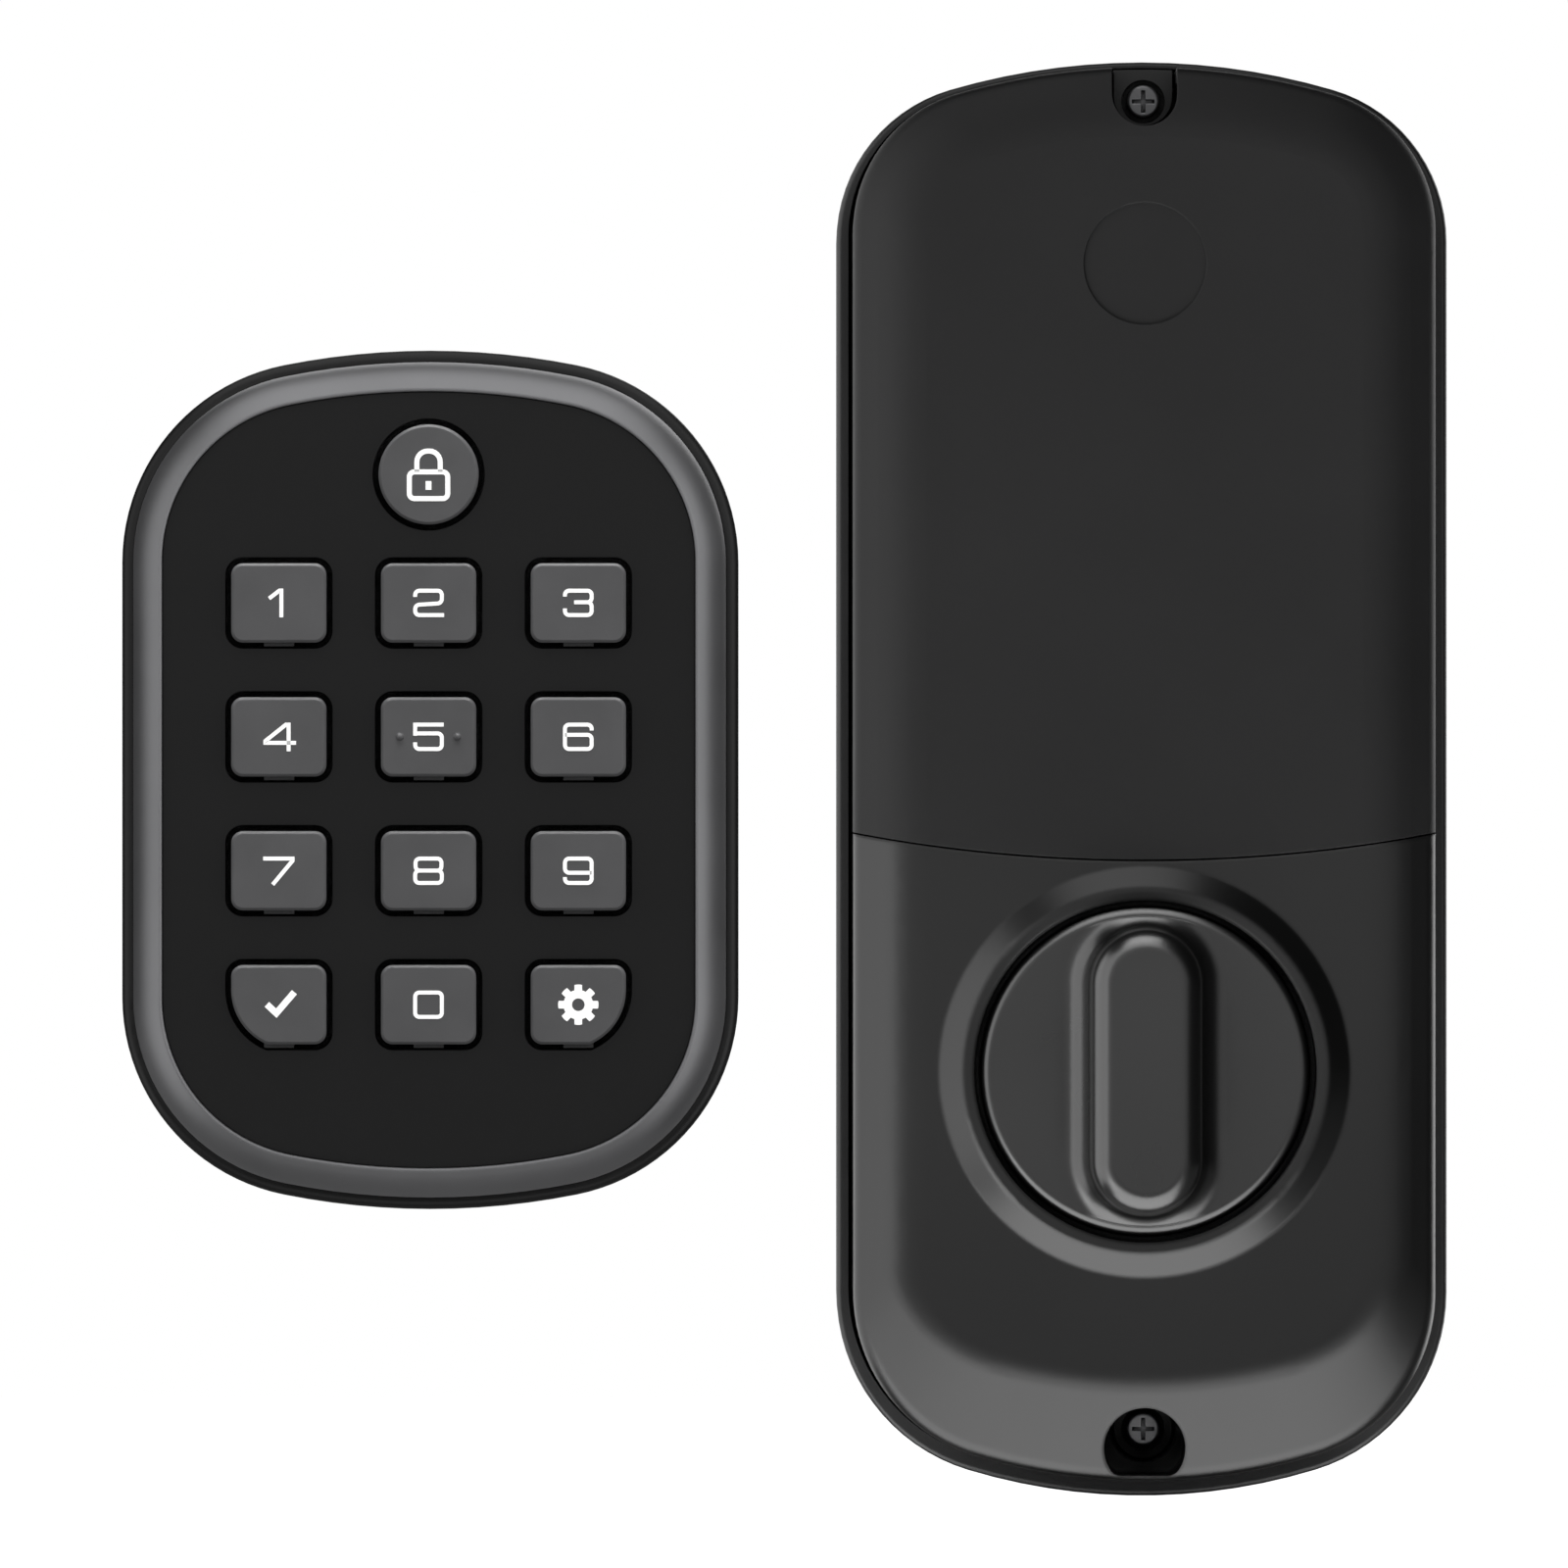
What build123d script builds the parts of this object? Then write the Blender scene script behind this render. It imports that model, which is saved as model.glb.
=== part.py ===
from build123d import *
import os
from dataclasses import dataclass
from math import acos, atan2, cos, degrees, pi, radians, sin, sqrt, tan

# A keypad smart lock for a deadbolt: the keypad unit that goes on the outside of a door, and the
# battery and thumb-turn unit that goes on the inside. The two stand side by side on one door plane.
# Frame, in millimetres: +X to the right, +Z up, and the fronts face -Y. The origin is the spindle
# axis where it crosses the door plane. A "depth" is a distance in front of that plane.

# ---------------------------------------------------------------- driving dimensions

# Where the keypad unit's centre stands, from the spindle axis
KEYPAD_X = -85.6
KEYPAD_Z = 34.7

# Keypad unit, outline
KEYPAD_HALF_WIDTH = 37.1
KEYPAD_HALF_HEIGHT = 51.7
KEYPAD_END_ARC = 90.0
KEYPAD_CORNER = 24.2

# Keypad unit, depths and walls
GASKET_THICK = 1.2
GASKET_INSET = 1.2
GASKET_WIDTH = 3.0
KEYPAD_BACK_WALL = 1.8
KEYPAD_SIDE_WALL = 2.2
KEYPAD_LEDGE_THICK = 2.0
KEYPAD_LEDGE_WIDTH = 7.0
KEYPAD_SHELL_DEPTH = 10.0
KEYPAD_LIP_ROUND = 1.3
BEZEL_INSET = 1.5
BEZEL_BAND = 3.65
BEZEL_HEIGHT = 9.4
BEZEL_ROUND = 7.0
BEZEL_INNER_ROUND = 0.3
FACE_CLEARANCE = 0.06
FACE_BELOW_BEZEL = 0.75
FACE_THICK = 2.4
FACE_SKIRT = 1.5

# Keys
KEY_WIDTH = 11.4
KEY_HEIGHT = 9.5
KEY_CORNER = 1.4
KEY_PITCH_X = 17.95
KEY_PITCH_Z = 16.05
KEY_TOP_ROW_Z = 21.2
KEY_GAP = 0.72
KEY_PROUD = 1.2
KEY_CHAMFER = 0.3
KEY_FLANGE = 0.7
KEY_FLANGE_THICK = 1.0
KEY_TRAVEL = 1.0
KEY_TAB_WIDTH = 3.6
KEY_TAB_REACH = 0.45
KEY_TAB_BELOW = 1.6
KEY_SWEEP_RADIUS = 7.1
KEY_SWEEP_ACROSS = 4.3
PIP_RADIUS = 0.45
PIP_FROM_CENTRE = 3.45
WAKE_RADIUS = 6.0
WAKE_Z = 36.6
WAKE_PROUD = 1.0
REST_GAP = 0.1

# Keypad unit, inside
KEYMAT_INSET = 8.2
KEYMAT_THICK = 1.3
DOME_CLEARANCE = 0.2
DOME_BASE_RADIUS = 3.6
DOME_TOP_RADIUS = 2.2
BOARD_THICK = 1.6
KEYPAD_BOARD_INSET = 8.2
BUZZER_RADIUS = 6.0
BUZZER_THICK = 1.6
BUZZER_Z = -30.0
POST_SPACING = 42.0
POST_RADIUS = 4.0
POST_TAP_RADIUS = 2.1
POST_REACH = 6.0
POST_FLANGE_RADIUS = 5.6
POST_FLANGE_THICK = 1.4
CABLE_WIDTH = 16.0
CABLE_HEIGHT = 8.0
CABLE_Z = 15.0
CABLE_SOCKET = (12.0, 5.0)
CASE_BOSS_RADIUS = 2.2
CASE_BOSS_FROM_KEYS = 0.7
CASE_SCREW_RADIUS = 1.0
CASE_HEAD_RADIUS = 2.0
CASE_HEAD_THICK = 1.0
TERMINAL_RADIUS = 2.4
TERMINAL_APART = 10.0
TERMINAL_SUNK = 0.35

# Interior unit, outline of the base and of the covers in front of it
BASE_HALF_WIDTH = 36.7
BASE_TOP_ARC = 82.0
BASE_TOP_CORNER = 19.0
BASE_BOTTOM_ARC = 72.0
BASE_BOTTOM_CORNER = 22.3
BASE_DEPTH = 12.0
BASE_WALL = 2.2
BASE_FLOOR = 2.2
BASE_EDGE_ROUND = 0.6
COVER_SIDE_INSET = 1.95
COVER_TOP_INSET = 1.25
COVER_BOTTOM_INSET = 2.45
COVER_GROOVE = 0.5
COVER_NEST = 2.0
COVER_FRONT = 33.0
COVER_WALL = 1.8
FACET_DROP = 2.8
FACET_SIDE = 5.7
FACET_TOP = 5.0
FACET_BOTTOM = 12.0
FACET_CORNER_LOSS = 5.0
FACET_BLEND = 13.0
COVER_EDGE_ROUND = 1.8
SEAM_RADIUS = 188.0
SEAM_GAP = 0.2
SEAM_LIP = 1.6
MARK_RADIUS = 7.3
MARK_DEPTH = 0.35
MARK_BELOW_TOP = 24.8

# Interior unit, screw pockets
BOSS_ABOVE_BASE = 9.0
SCREW_BELOW_TOP = 5.1
SCREW_ABOVE_BOTTOM = 8.4
POCKET_BELOW_SCREW = 2.0
NOTCH_ABOVE_SCREW = 0.6
NOTCH_RADIUS = 3.9
BOSS_CLEARANCE = 0.4
BOTTOM_POCKET_RADIUS = 4.85
BOTTOM_POCKET_FLAT = 3.3
BOTTOM_POCKET_ROUND = 1.6
POCKET_WALL = 1.2
COVER_SCREW_RADIUS = 1.25
COVER_SCREW_HOLE = 1.45
COVER_SCREW_THREAD_FIT = 0.02
COVER_HEAD_RADIUS = 1.97
COVER_HEAD_THICK = 1.5
COVER_HEAD_POCKET = 2.6
COVER_HEAD_SUNK = 0.9

# Mounting plate
PLATE_THICK = 2.0
PLATE_GAP = 0.8
BOLT_SPACING = 42.0
BOLT_HOLE_RADIUS = 2.7
PLATE_SPINDLE_RADIUS = 7.0

# Thumb-turn, its collar and its spindle
TURN_RADIUS = 19.7
TURN_GAP = 0.68
TURN_BEHIND_CREST = 0.4
TURN_END_PLAY = 0.3
TURN_EDGE_ROUND = 1.3
BAR_FOOT = (13.6, 34.6)
BAR_TOP = (12.8, 33.6)
BAR_REACH = 14.0
BAR_TOP_ROUND = 2.6
BAR_FOOT_ROUND = 3.0
COLLAR_WIDTH = 4.8
COLLAR_CREST_WIDTH = 1.8
COLLAR_HEIGHT = 1.8
COLLAR_BEVEL = 0.15
COLLAR_ROUND = 0.6
COLLAR_TO_SEAM = 0.7
COLLAR_TO_SCREW = 18.5
POCKET_DEPTH = 0.8
SPINDLE_RADIUS = 6.0
SPINDLE_THIN_RADIUS = 4.0
SPINDLE_BACK = 3.0
BUSH_WALL = 1.6
BUSH_CLEARANCE = 0.05
TAILPIECE_WIDTH = 7.0
TAILPIECE_THICK = 2.4
TAILPIECE_REACH = 30.0
TAILPIECE_GRIP = 11.0
CLIP_THICK = 0.8
CLIP_RADIUS = 6.2

# Gear train, from the spindle to the motor
GEAR_MODULE = 0.7
GEAR_PRESSURE_ANGLE = 20.0
GEAR_ADDENDUM = 0.8
GEAR_DEDENDUM = 1.1
GEAR_BACKLASH = 0.16
MAIN_TEETH = 46
SMALL_TEETH = 12
SLOW_IDLER_TEETH = 36
FAST_IDLER_TEETH = 34
MOTOR_X = 18.0
MOTOR_Z = -26.0
FAST_IDLER_ANGLE = 160.0
MOTOR_RADIUS = 12.1
MOTOR_LENGTH = 12.2
MOTOR_SHAFT_RADIUS = 1.0
MOTOR_TO_PLATE = 0.9
GEAR_PLATE_THICK = 1.6
GEAR_PLATE_INSET = 3.0
GEAR_PLATE_TOP = 20.0
GEAR_THICK = 3.4
GEAR_LAYER_GAP = 0.4
PIN_RADIUS = 1.0
PIN_CLEARANCE = 0.05
BRIDGE_THICK = 1.0
BRIDGE_RADIUS = 3.4

# Battery bay
CELL_RADIUS = 7.1
CELL_LENGTH = 49.2
CELL_NUB_RADIUS = 2.7
CELL_NUB = 1.2
CELL_GAP = 0.5
CELL_TO_COVER = 0.7
CELL_SPRING_ROOM = 5.2
CELL_COUNT = 4
TRAY_WALL = 1.8
TRAY_ABOVE_SEAM = 8.8
TRAY_FLOOR = 2.1
TRAY_LAND = 2.9
TRAY_WALL_RISE = 5.2
TRAY_RIB_WIDTH = 3.0
CRADLE_CLEARANCE = 0.15
CONTACT_SIZE = 8.0
CONTACT_THICK = 0.4
SPRING_WIRE = 0.35
SPRING_RADIUS = 2.9
SPRING_TURNS = 3

# Radio module and the main board
MODULE_WIDTH = 30.0
MODULE_HEIGHT = 16.0
MODULE_THICK = 8.0
MODULE_ABOVE_TRAY = 3.1
MODULE_ABOVE_BASE = 5.0
MODULE_TO_SCREW = 5.4
MODULE_PAD = 8.0
SOCKET_THICK = 3.0
MAIN_BOARD_HALF_WIDTH = 29.0
MAIN_BOARD_TO_PLATE = 2.2
BOARD_POST_RADIUS = 1.8

ROWS = (("1", "2", "3"), ("4", "5", "6"), ("7", "8", "9"), ("check", "0", "gear"))


# ---------------------------------------------------------------- helpers

def slab(flat, start, end):
    """A flat shape drawn in X and Z, made solid between two depths."""
    return extrude(Plane.XZ.offset(start) * flat, amount=end - start)


def disc(x, z, radius, start, end):
    """A round slab about an axis along Y."""
    return slab(Pos(x, z) * Circle(radius), start, end)


def stadium(width, height):
    """An upright slot shape, round at both ends."""
    return RectangleRounded(width, height, width / 2 - 0.001)


def turned(profile):
    """A profile of (radius, depth) points, turned about the spindle axis."""
    points = [(radius, -depth) for radius, depth in profile]
    return revolve(make_face(Polyline(*points, close=True)), Axis.Y)


def front_edges(solid, depth):
    """The edges of a solid that lie at one depth."""
    return solid.edges().filter_by_position(Axis.Y, -depth - 0.01, -depth + 0.01)


@dataclass
class Outline:
    """Straight upright sides, a shallow arc over each end, and a corner arc where they meet."""

    half_width: float
    top: float
    bottom: float
    top_arc: float
    top_corner: float
    bottom_arc: float
    bottom_corner: float

    def inset(self, gap):
        return Outline(
            self.half_width - gap,
            self.top - gap,
            self.bottom + gap,
            self.top_arc - gap,
            self.top_corner - gap,
            self.bottom_arc - gap,
            self.bottom_corner - gap,
        )

    def end(self, apex, side, arc, corner):
        """The corner arc's start, middle and end at one end; side is 1 at the top and -1 below."""
        centre_x = self.half_width - corner
        rise = sqrt((arc - corner) ** 2 - centre_x**2)
        arc_centre = apex - side * arc
        corner_centre = arc_centre + side * rise
        meet = atan2(rise, centre_x)
        middle = meet / 2
        return [
            (self.half_width, corner_centre),
            (centre_x + corner * cos(middle), corner_centre + side * corner * sin(middle)),
            (arc * cos(meet), arc_centre + side * arc * sin(meet)),
        ]

    def face(self):
        start, middle, finish = self.end(self.top, 1, self.top_arc, self.top_corner)
        low_start, low_middle, low_finish = self.end(
            self.bottom, -1, self.bottom_arc, self.bottom_corner
        )
        mirrored = [(-x, z) for x, z in (start, middle, finish, low_start, low_middle, low_finish)]
        left, left_middle, left_finish, low_left, low_left_middle, low_left_finish = mirrored
        return make_face(
            [
                Line(low_start, start),
                ThreePointArc(start, middle, finish),
                ThreePointArc(finish, (0, self.top), left_finish),
                ThreePointArc(left_finish, left_middle, left),
                Line(left, low_left),
                ThreePointArc(low_left, low_left_middle, low_left_finish),
                ThreePointArc(low_left_finish, (0, self.bottom), low_finish),
                ThreePointArc(low_finish, low_middle, low_start),
            ]
        )


KEYPAD_OUTLINE = Outline(
    KEYPAD_HALF_WIDTH,
    KEYPAD_HALF_HEIGHT,
    -KEYPAD_HALF_HEIGHT,
    KEYPAD_END_ARC,
    KEYPAD_CORNER,
    KEYPAD_END_ARC,
    KEYPAD_CORNER,
)
# The interior unit is as tall as what stands in it: from the collar up past the seam, the cells
# and the radio module to the upper screw, and from the collar down to the lower screw.
COLLAR_OUTER = TURN_RADIUS + COLLAR_WIDTH
COLLAR_CREST = TURN_RADIUS + COLLAR_CREST_WIDTH
SEAM_Z = COLLAR_OUTER + COLLAR_TO_SEAM
CELL_PITCH = 2 * CELL_RADIUS + CELL_GAP
BAY_BOTTOM = SEAM_Z + TRAY_ABOVE_SEAM
BAY_LENGTH = CELL_LENGTH + CELL_NUB + CELL_SPRING_ROOM
BAY_TOP = BAY_BOTTOM + BAY_LENGTH
TRAY_HALF_WIDTH = CELL_PITCH * CELL_COUNT / 2 + TRAY_WALL
TRAY_RIB_X = TRAY_HALF_WIDTH * 0.67
MODULE_BOTTOM = BAY_TOP + TRAY_WALL + MODULE_ABOVE_TRAY
MODULE_TOP = MODULE_BOTTOM + MODULE_HEIGHT
MODULE_MIDDLE = (MODULE_BOTTOM + MODULE_TOP) / 2
TOP_SCREW_Z = MODULE_TOP + MODULE_TO_SCREW
BASE_TOP = TOP_SCREW_Z + SCREW_BELOW_TOP
BOTTOM_SCREW_Z = -COLLAR_OUTER - COLLAR_TO_SCREW
BASE_BOTTOM = BOTTOM_SCREW_Z - SCREW_ABOVE_BOTTOM
NOTCH_Z = TOP_SCREW_Z + NOTCH_ABOVE_SCREW
BOTTOM_POCKET_Z = BOTTOM_SCREW_Z - POCKET_BELOW_SCREW
MARK_Z = BASE_TOP - MARK_BELOW_TOP
GEAR_PLATE_BOTTOM = BOTTOM_SCREW_Z + 4.4
MAIN_BOARD_BOTTOM = SEAM_Z + 0.8
MAIN_BOARD_TOP = MODULE_TOP - 0.5

BASE_OUTLINE = Outline(
    BASE_HALF_WIDTH,
    BASE_TOP,
    BASE_BOTTOM,
    BASE_TOP_ARC,
    BASE_TOP_CORNER,
    BASE_BOTTOM_ARC,
    BASE_BOTTOM_CORNER,
)
COVER_OUTLINE = Outline(
    BASE_HALF_WIDTH - COVER_SIDE_INSET,
    BASE_TOP - COVER_TOP_INSET,
    BASE_BOTTOM + COVER_BOTTOM_INSET,
    BASE_TOP_ARC - COVER_SIDE_INSET,
    BASE_TOP_CORNER - COVER_SIDE_INSET,
    BASE_BOTTOM_ARC - COVER_SIDE_INSET,
    BASE_BOTTOM_CORNER - COVER_SIDE_INSET,
)


def keypad_ring(outer, inner, start, end):
    """A ring in the keypad unit between two insets of its outline."""
    return slab(KEYPAD_OUTLINE.inset(outer).face() - KEYPAD_OUTLINE.inset(inner).face(), start, end)


# ---------------------------------------------------------------- depths worked out from the sizes

KEYPAD_BACK = GASKET_THICK
KEYPAD_FLOOR = KEYPAD_BACK + KEYPAD_BACK_WALL
BEZEL_FRONT = KEYPAD_SHELL_DEPTH + BEZEL_HEIGHT
FACE_INSET = BEZEL_INSET + BEZEL_BAND + FACE_CLEARANCE
FACE_FRONT = BEZEL_FRONT - FACE_BELOW_BEZEL
FACE_BACK = FACE_FRONT - FACE_THICK
KEY_FRONT = FACE_FRONT + KEY_PROUD
FLANGE_FRONT = FACE_BACK - REST_GAP
KEY_BACK = FLANGE_FRONT - KEY_FLANGE_THICK
DOME_FRONT = KEY_BACK - KEY_TRAVEL - DOME_CLEARANCE
BOARD_FRONT = KEYPAD_SHELL_DEPTH
BOARD_BACK = BOARD_FRONT - BOARD_THICK
KEYMAT_FRONT = BOARD_FRONT + KEYMAT_THICK

COVER_BACK = BASE_DEPTH - COVER_NEST
BASE_FLOOR_BACK = COVER_BACK - BASE_FLOOR
BOSS_FRONT = BASE_DEPTH + BOSS_ABOVE_BASE
POCKET_FLOOR = COVER_FRONT - POCKET_DEPTH
POCKET_INNER = POCKET_FLOOR - COVER_WALL
COLLAR_FRONT = COVER_FRONT + COLLAR_HEIGHT
TURN_BACK = POCKET_FLOOR + TURN_END_PLAY
TURN_FRONT = COLLAR_FRONT - TURN_BEHIND_CREST
BAR_FRONT = COVER_FRONT + BAR_REACH
CELL_DEPTH = COVER_FRONT - COVER_WALL - CELL_TO_COVER - CELL_RADIUS
TRAY_FLOOR_BACK = CELL_DEPTH - CELL_RADIUS - TRAY_FLOOR
TRAY_LAND_FRONT = CELL_DEPTH - TRAY_LAND
TRAY_WALL_FRONT = CELL_DEPTH + TRAY_WALL_RISE
MODULE_BACK = BASE_DEPTH + MODULE_ABOVE_BASE
MODULE_FRONT = MODULE_BACK + MODULE_THICK
MAIN_BOARD_BACK = PLATE_THICK + MAIN_BOARD_TO_PLATE
MOTOR_BACK = PLATE_THICK + MOTOR_TO_PLATE
GEAR_PLATE_BACK = MOTOR_BACK + MOTOR_LENGTH
FIRST_LAYER = GEAR_PLATE_BACK + GEAR_PLATE_THICK + GEAR_LAYER_GAP
SECOND_LAYER = FIRST_LAYER + GEAR_THICK + GEAR_LAYER_GAP
THIRD_LAYER = SECOND_LAYER + GEAR_THICK + GEAR_LAYER_GAP
GEARS_FRONT = THIRD_LAYER + GEAR_THICK

KEY_SKIRT = KEY_GAP + KEY_FLANGE
CASE_SCREW_X = KEY_PITCH_X + KEY_WIDTH / 2 + KEY_SKIRT + CASE_BOSS_FROM_KEYS + CASE_BOSS_RADIUS
CASE_SCREW_Z = KEY_TOP_ROW_Z + KEY_HEIGHT / 2 + KEY_SKIRT + CASE_BOSS_RADIUS
CASE_SCREWS = [
    (side * CASE_SCREW_X, end * CASE_SCREW_Z) for side in (-1, 1) for end in (-1, 1)
]
POSTS = [(side * POST_SPACING / 2, 0) for side in (-1, 1)]
BOLTS = [(side * BOLT_SPACING / 2, 0) for side in (-1, 1)]
COVER_SCREWS = [(0, TOP_SCREW_Z), (0, BOTTOM_SCREW_Z)]
BOARD_POSTS = [
    (side * (MAIN_BOARD_HALF_WIDTH - 4), z)
    for side in (-1, 1)
    for z in (MAIN_BOARD_BOTTOM + 6, MAIN_BOARD_TOP - 14)
]
CELLS = [(index - (CELL_COUNT - 1) / 2) * CELL_PITCH for index in range(CELL_COUNT)]


# ---------------------------------------------------------------- keypad unit

def key_places():
    """Each key's name and its centre in the keypad unit."""
    for row, names in enumerate(ROWS):
        for column, name in enumerate(names):
            yield name, (column - 1) * KEY_PITCH_X, KEY_TOP_ROW_Z - row * KEY_PITCH_Z


def key_shape(name, grow=0.0):
    """A key's outline about its centre, grown evenly all round by a gap or a flange."""
    half_width = KEY_WIDTH / 2 + grow
    half_height = KEY_HEIGHT / 2 + grow
    shape = RectangleRounded(2 * half_width, 2 * half_height, KEY_CORNER + grow)
    if name not in ("check", "gear"):
        return shape
    # The two outer keys of the last row follow the corner of the case.
    side = -1 if name == "check" else 1
    drop = sqrt(KEY_SWEEP_RADIUS**2 - (KEY_SWEEP_RADIUS - KEY_SWEEP_ACROSS) ** 2)
    centre = (side * (KEY_WIDTH / 2 - KEY_SWEEP_RADIUS), drop - KEY_HEIGHT / 2)
    reach = KEY_SWEEP_RADIUS + grow
    corner = Pos(centre[0] + side * reach, centre[1] - reach) * Rectangle(2 * reach, 2 * reach)
    return shape - (corner - Pos(*centre) * Circle(reach))


def make_keys():
    keys = {}
    for name, x, z in key_places():
        cap = slab(key_shape(name), KEY_BACK, KEY_FRONT)
        cap = chamfer(front_edges(cap, KEY_FRONT), KEY_CHAMFER)
        flange = slab(key_shape(name, KEY_SKIRT), KEY_BACK, FLANGE_FRONT)
        tab_height = KEY_HEIGHT / 2 + KEY_TAB_REACH
        tab = Pos(0, -tab_height / 2) * Rectangle(KEY_TAB_WIDTH, tab_height)
        key = cap + flange + slab(tab, KEY_BACK, KEY_FRONT - KEY_TAB_BELOW)
        if name == "5":
            for side in (-1, 1):
                key += Pos(side * PIP_FROM_CENTRE, -KEY_FRONT, 0) * Sphere(PIP_RADIUS)
        keys["key_" + name] = Pos(x, 0, z) * key
    return keys


def make_wake_button():
    front = FACE_FRONT + WAKE_PROUD
    cap = disc(0, WAKE_Z, WAKE_RADIUS, KEY_BACK, front)
    cap = chamfer(front_edges(cap, front), KEY_CHAMFER)
    return cap + disc(0, WAKE_Z, WAKE_RADIUS + KEY_SKIRT, KEY_BACK, FLANGE_FRONT)


def make_bezel():
    """A domed band: the round of a deeper block, cut off where its opening begins."""
    left_over = BEZEL_ROUND - BEZEL_BAND
    block_front = BEZEL_FRONT + BEZEL_ROUND - sqrt(BEZEL_ROUND**2 - left_over**2)
    block = slab(KEYPAD_OUTLINE.inset(BEZEL_INSET).face(), KEYPAD_SHELL_DEPTH, block_front)
    block = fillet(front_edges(block, block_front), BEZEL_ROUND)
    opening = KEYPAD_OUTLINE.inset(BEZEL_INSET + BEZEL_BAND).face()
    bezel = block - slab(opening, 0, 2 * BEZEL_FRONT)
    return fillet(front_edges(bezel, BEZEL_FRONT), BEZEL_INNER_ROUND)


def make_face_plate():
    outline = KEYPAD_OUTLINE.inset(FACE_INSET)
    plate = slab(outline.face(), FACE_BACK, FACE_FRONT)
    plate += keypad_ring(FACE_INSET, FACE_INSET + FACE_SKIRT, KEYPAD_SHELL_DEPTH, FACE_BACK)
    for x, z in CASE_SCREWS:
        plate += disc(x, z, CASE_BOSS_RADIUS, KEYPAD_SHELL_DEPTH, FACE_BACK)
        plate -= disc(x, z, CASE_SCREW_RADIUS, KEYPAD_SHELL_DEPTH, FACE_BACK)
    for name, x, z in key_places():
        plate -= slab(Pos(x, z) * key_shape(name, KEY_GAP), FACE_BACK, FACE_FRONT)
    plate -= disc(0, WAKE_Z, WAKE_RADIUS + KEY_GAP, FACE_BACK, FACE_FRONT)
    return plate


def make_keymat():
    mat = slab(KEYPAD_OUTLINE.inset(KEYMAT_INSET).face(), BOARD_FRONT, KEYMAT_FRONT)
    for x, z in CASE_SCREWS:
        mat -= disc(x, z, CASE_BOSS_RADIUS + BOSS_CLEARANCE, BOARD_FRONT, KEYMAT_FRONT)
    places = [(x, z) for _, x, z in key_places()] + [(0, WAKE_Z)]
    rise = DOME_FRONT - KEYMAT_FRONT
    for x, z in places:
        dome = Cone(DOME_BASE_RADIUS, DOME_TOP_RADIUS, rise, align=(Align.CENTER, Align.CENTER, Align.MIN))
        mat += Pos(x, -KEYMAT_FRONT, z) * (Rot(90, 0, 0) * dome)
    return mat


def make_keypad_board():
    board = slab(KEYPAD_OUTLINE.inset(KEYPAD_BOARD_INSET).face(), BOARD_BACK, BOARD_FRONT)
    for x, z in CASE_SCREWS:
        board -= disc(x, z, CASE_BOSS_RADIUS + BOSS_CLEARANCE, BOARD_BACK, BOARD_FRONT)
    return board


def make_keypad_shell():
    shell = slab(KEYPAD_OUTLINE.face(), KEYPAD_BACK, KEYPAD_SHELL_DEPTH)
    shell = fillet(front_edges(shell, KEYPAD_SHELL_DEPTH), KEYPAD_LIP_ROUND)
    ledge_back = KEYPAD_SHELL_DEPTH - KEYPAD_LEDGE_THICK
    shell -= slab(KEYPAD_OUTLINE.inset(KEYPAD_SIDE_WALL).face(), KEYPAD_FLOOR, ledge_back)
    shell -= slab(KEYPAD_OUTLINE.inset(KEYPAD_LEDGE_WIDTH).face(), ledge_back, KEYPAD_SHELL_DEPTH)
    for x, z in CASE_SCREWS:
        shell += disc(x, z, CASE_BOSS_RADIUS, KEYPAD_FLOOR, KEYPAD_SHELL_DEPTH - REST_GAP)
        shell -= disc(x, z, CASE_SCREW_RADIUS + REST_GAP, 0, KEYPAD_SHELL_DEPTH)
        shell -= disc(x, z, CASE_HEAD_RADIUS + REST_GAP, 0, KEYPAD_BACK + CASE_HEAD_THICK)
    for x, z in POSTS:
        shell -= disc(x, z, POST_RADIUS + REST_GAP, 0, KEYPAD_FLOOR)
    shell -= slab(Pos(0, CABLE_Z) * Rot(0, 0, 90) * stadium(CABLE_HEIGHT, CABLE_WIDTH), 0, KEYPAD_FLOOR)
    for x in (-TERMINAL_APART / 2, TERMINAL_APART / 2):
        shell -= terminal(x, TERMINAL_RADIUS + FACE_CLEARANCE, 1.0)
    return shell


def terminal(x, radius, extra=0.0):
    """A round contact in the bottom wall of the keypad unit, facing down."""
    depth = (KEYPAD_FLOOR + KEYPAD_SHELL_DEPTH - KEYPAD_LEDGE_THICK) / 2
    bottom = -KEYPAD_HALF_HEIGHT + TERMINAL_SUNK - extra
    length = KEYPAD_SIDE_WALL + 2 * extra
    return Pos(x, -depth, bottom + length / 2) * Cylinder(radius, length)


def make_terminals():
    return [terminal(x, TERMINAL_RADIUS) for x in (-TERMINAL_APART / 2, TERMINAL_APART / 2)]


def make_posts():
    posts = []
    for x, z in POSTS:
        post = disc(x, z, POST_RADIUS, -POST_REACH, KEYPAD_FLOOR)
        post += disc(x, z, POST_FLANGE_RADIUS, KEYPAD_FLOOR, KEYPAD_FLOOR + POST_FLANGE_THICK)
        posts.append(post - disc(x, z, POST_TAP_RADIUS, -POST_REACH, KEYPAD_FLOOR))
    return posts


def cross_slot(x, z, reach, start, end):
    """The cross of a Phillips recess."""
    arm = reach * 0.36
    cross = Rectangle(2 * reach, arm) + Rectangle(arm, 2 * reach)
    return slab(Pos(x, z) * cross, start, end)


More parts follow.
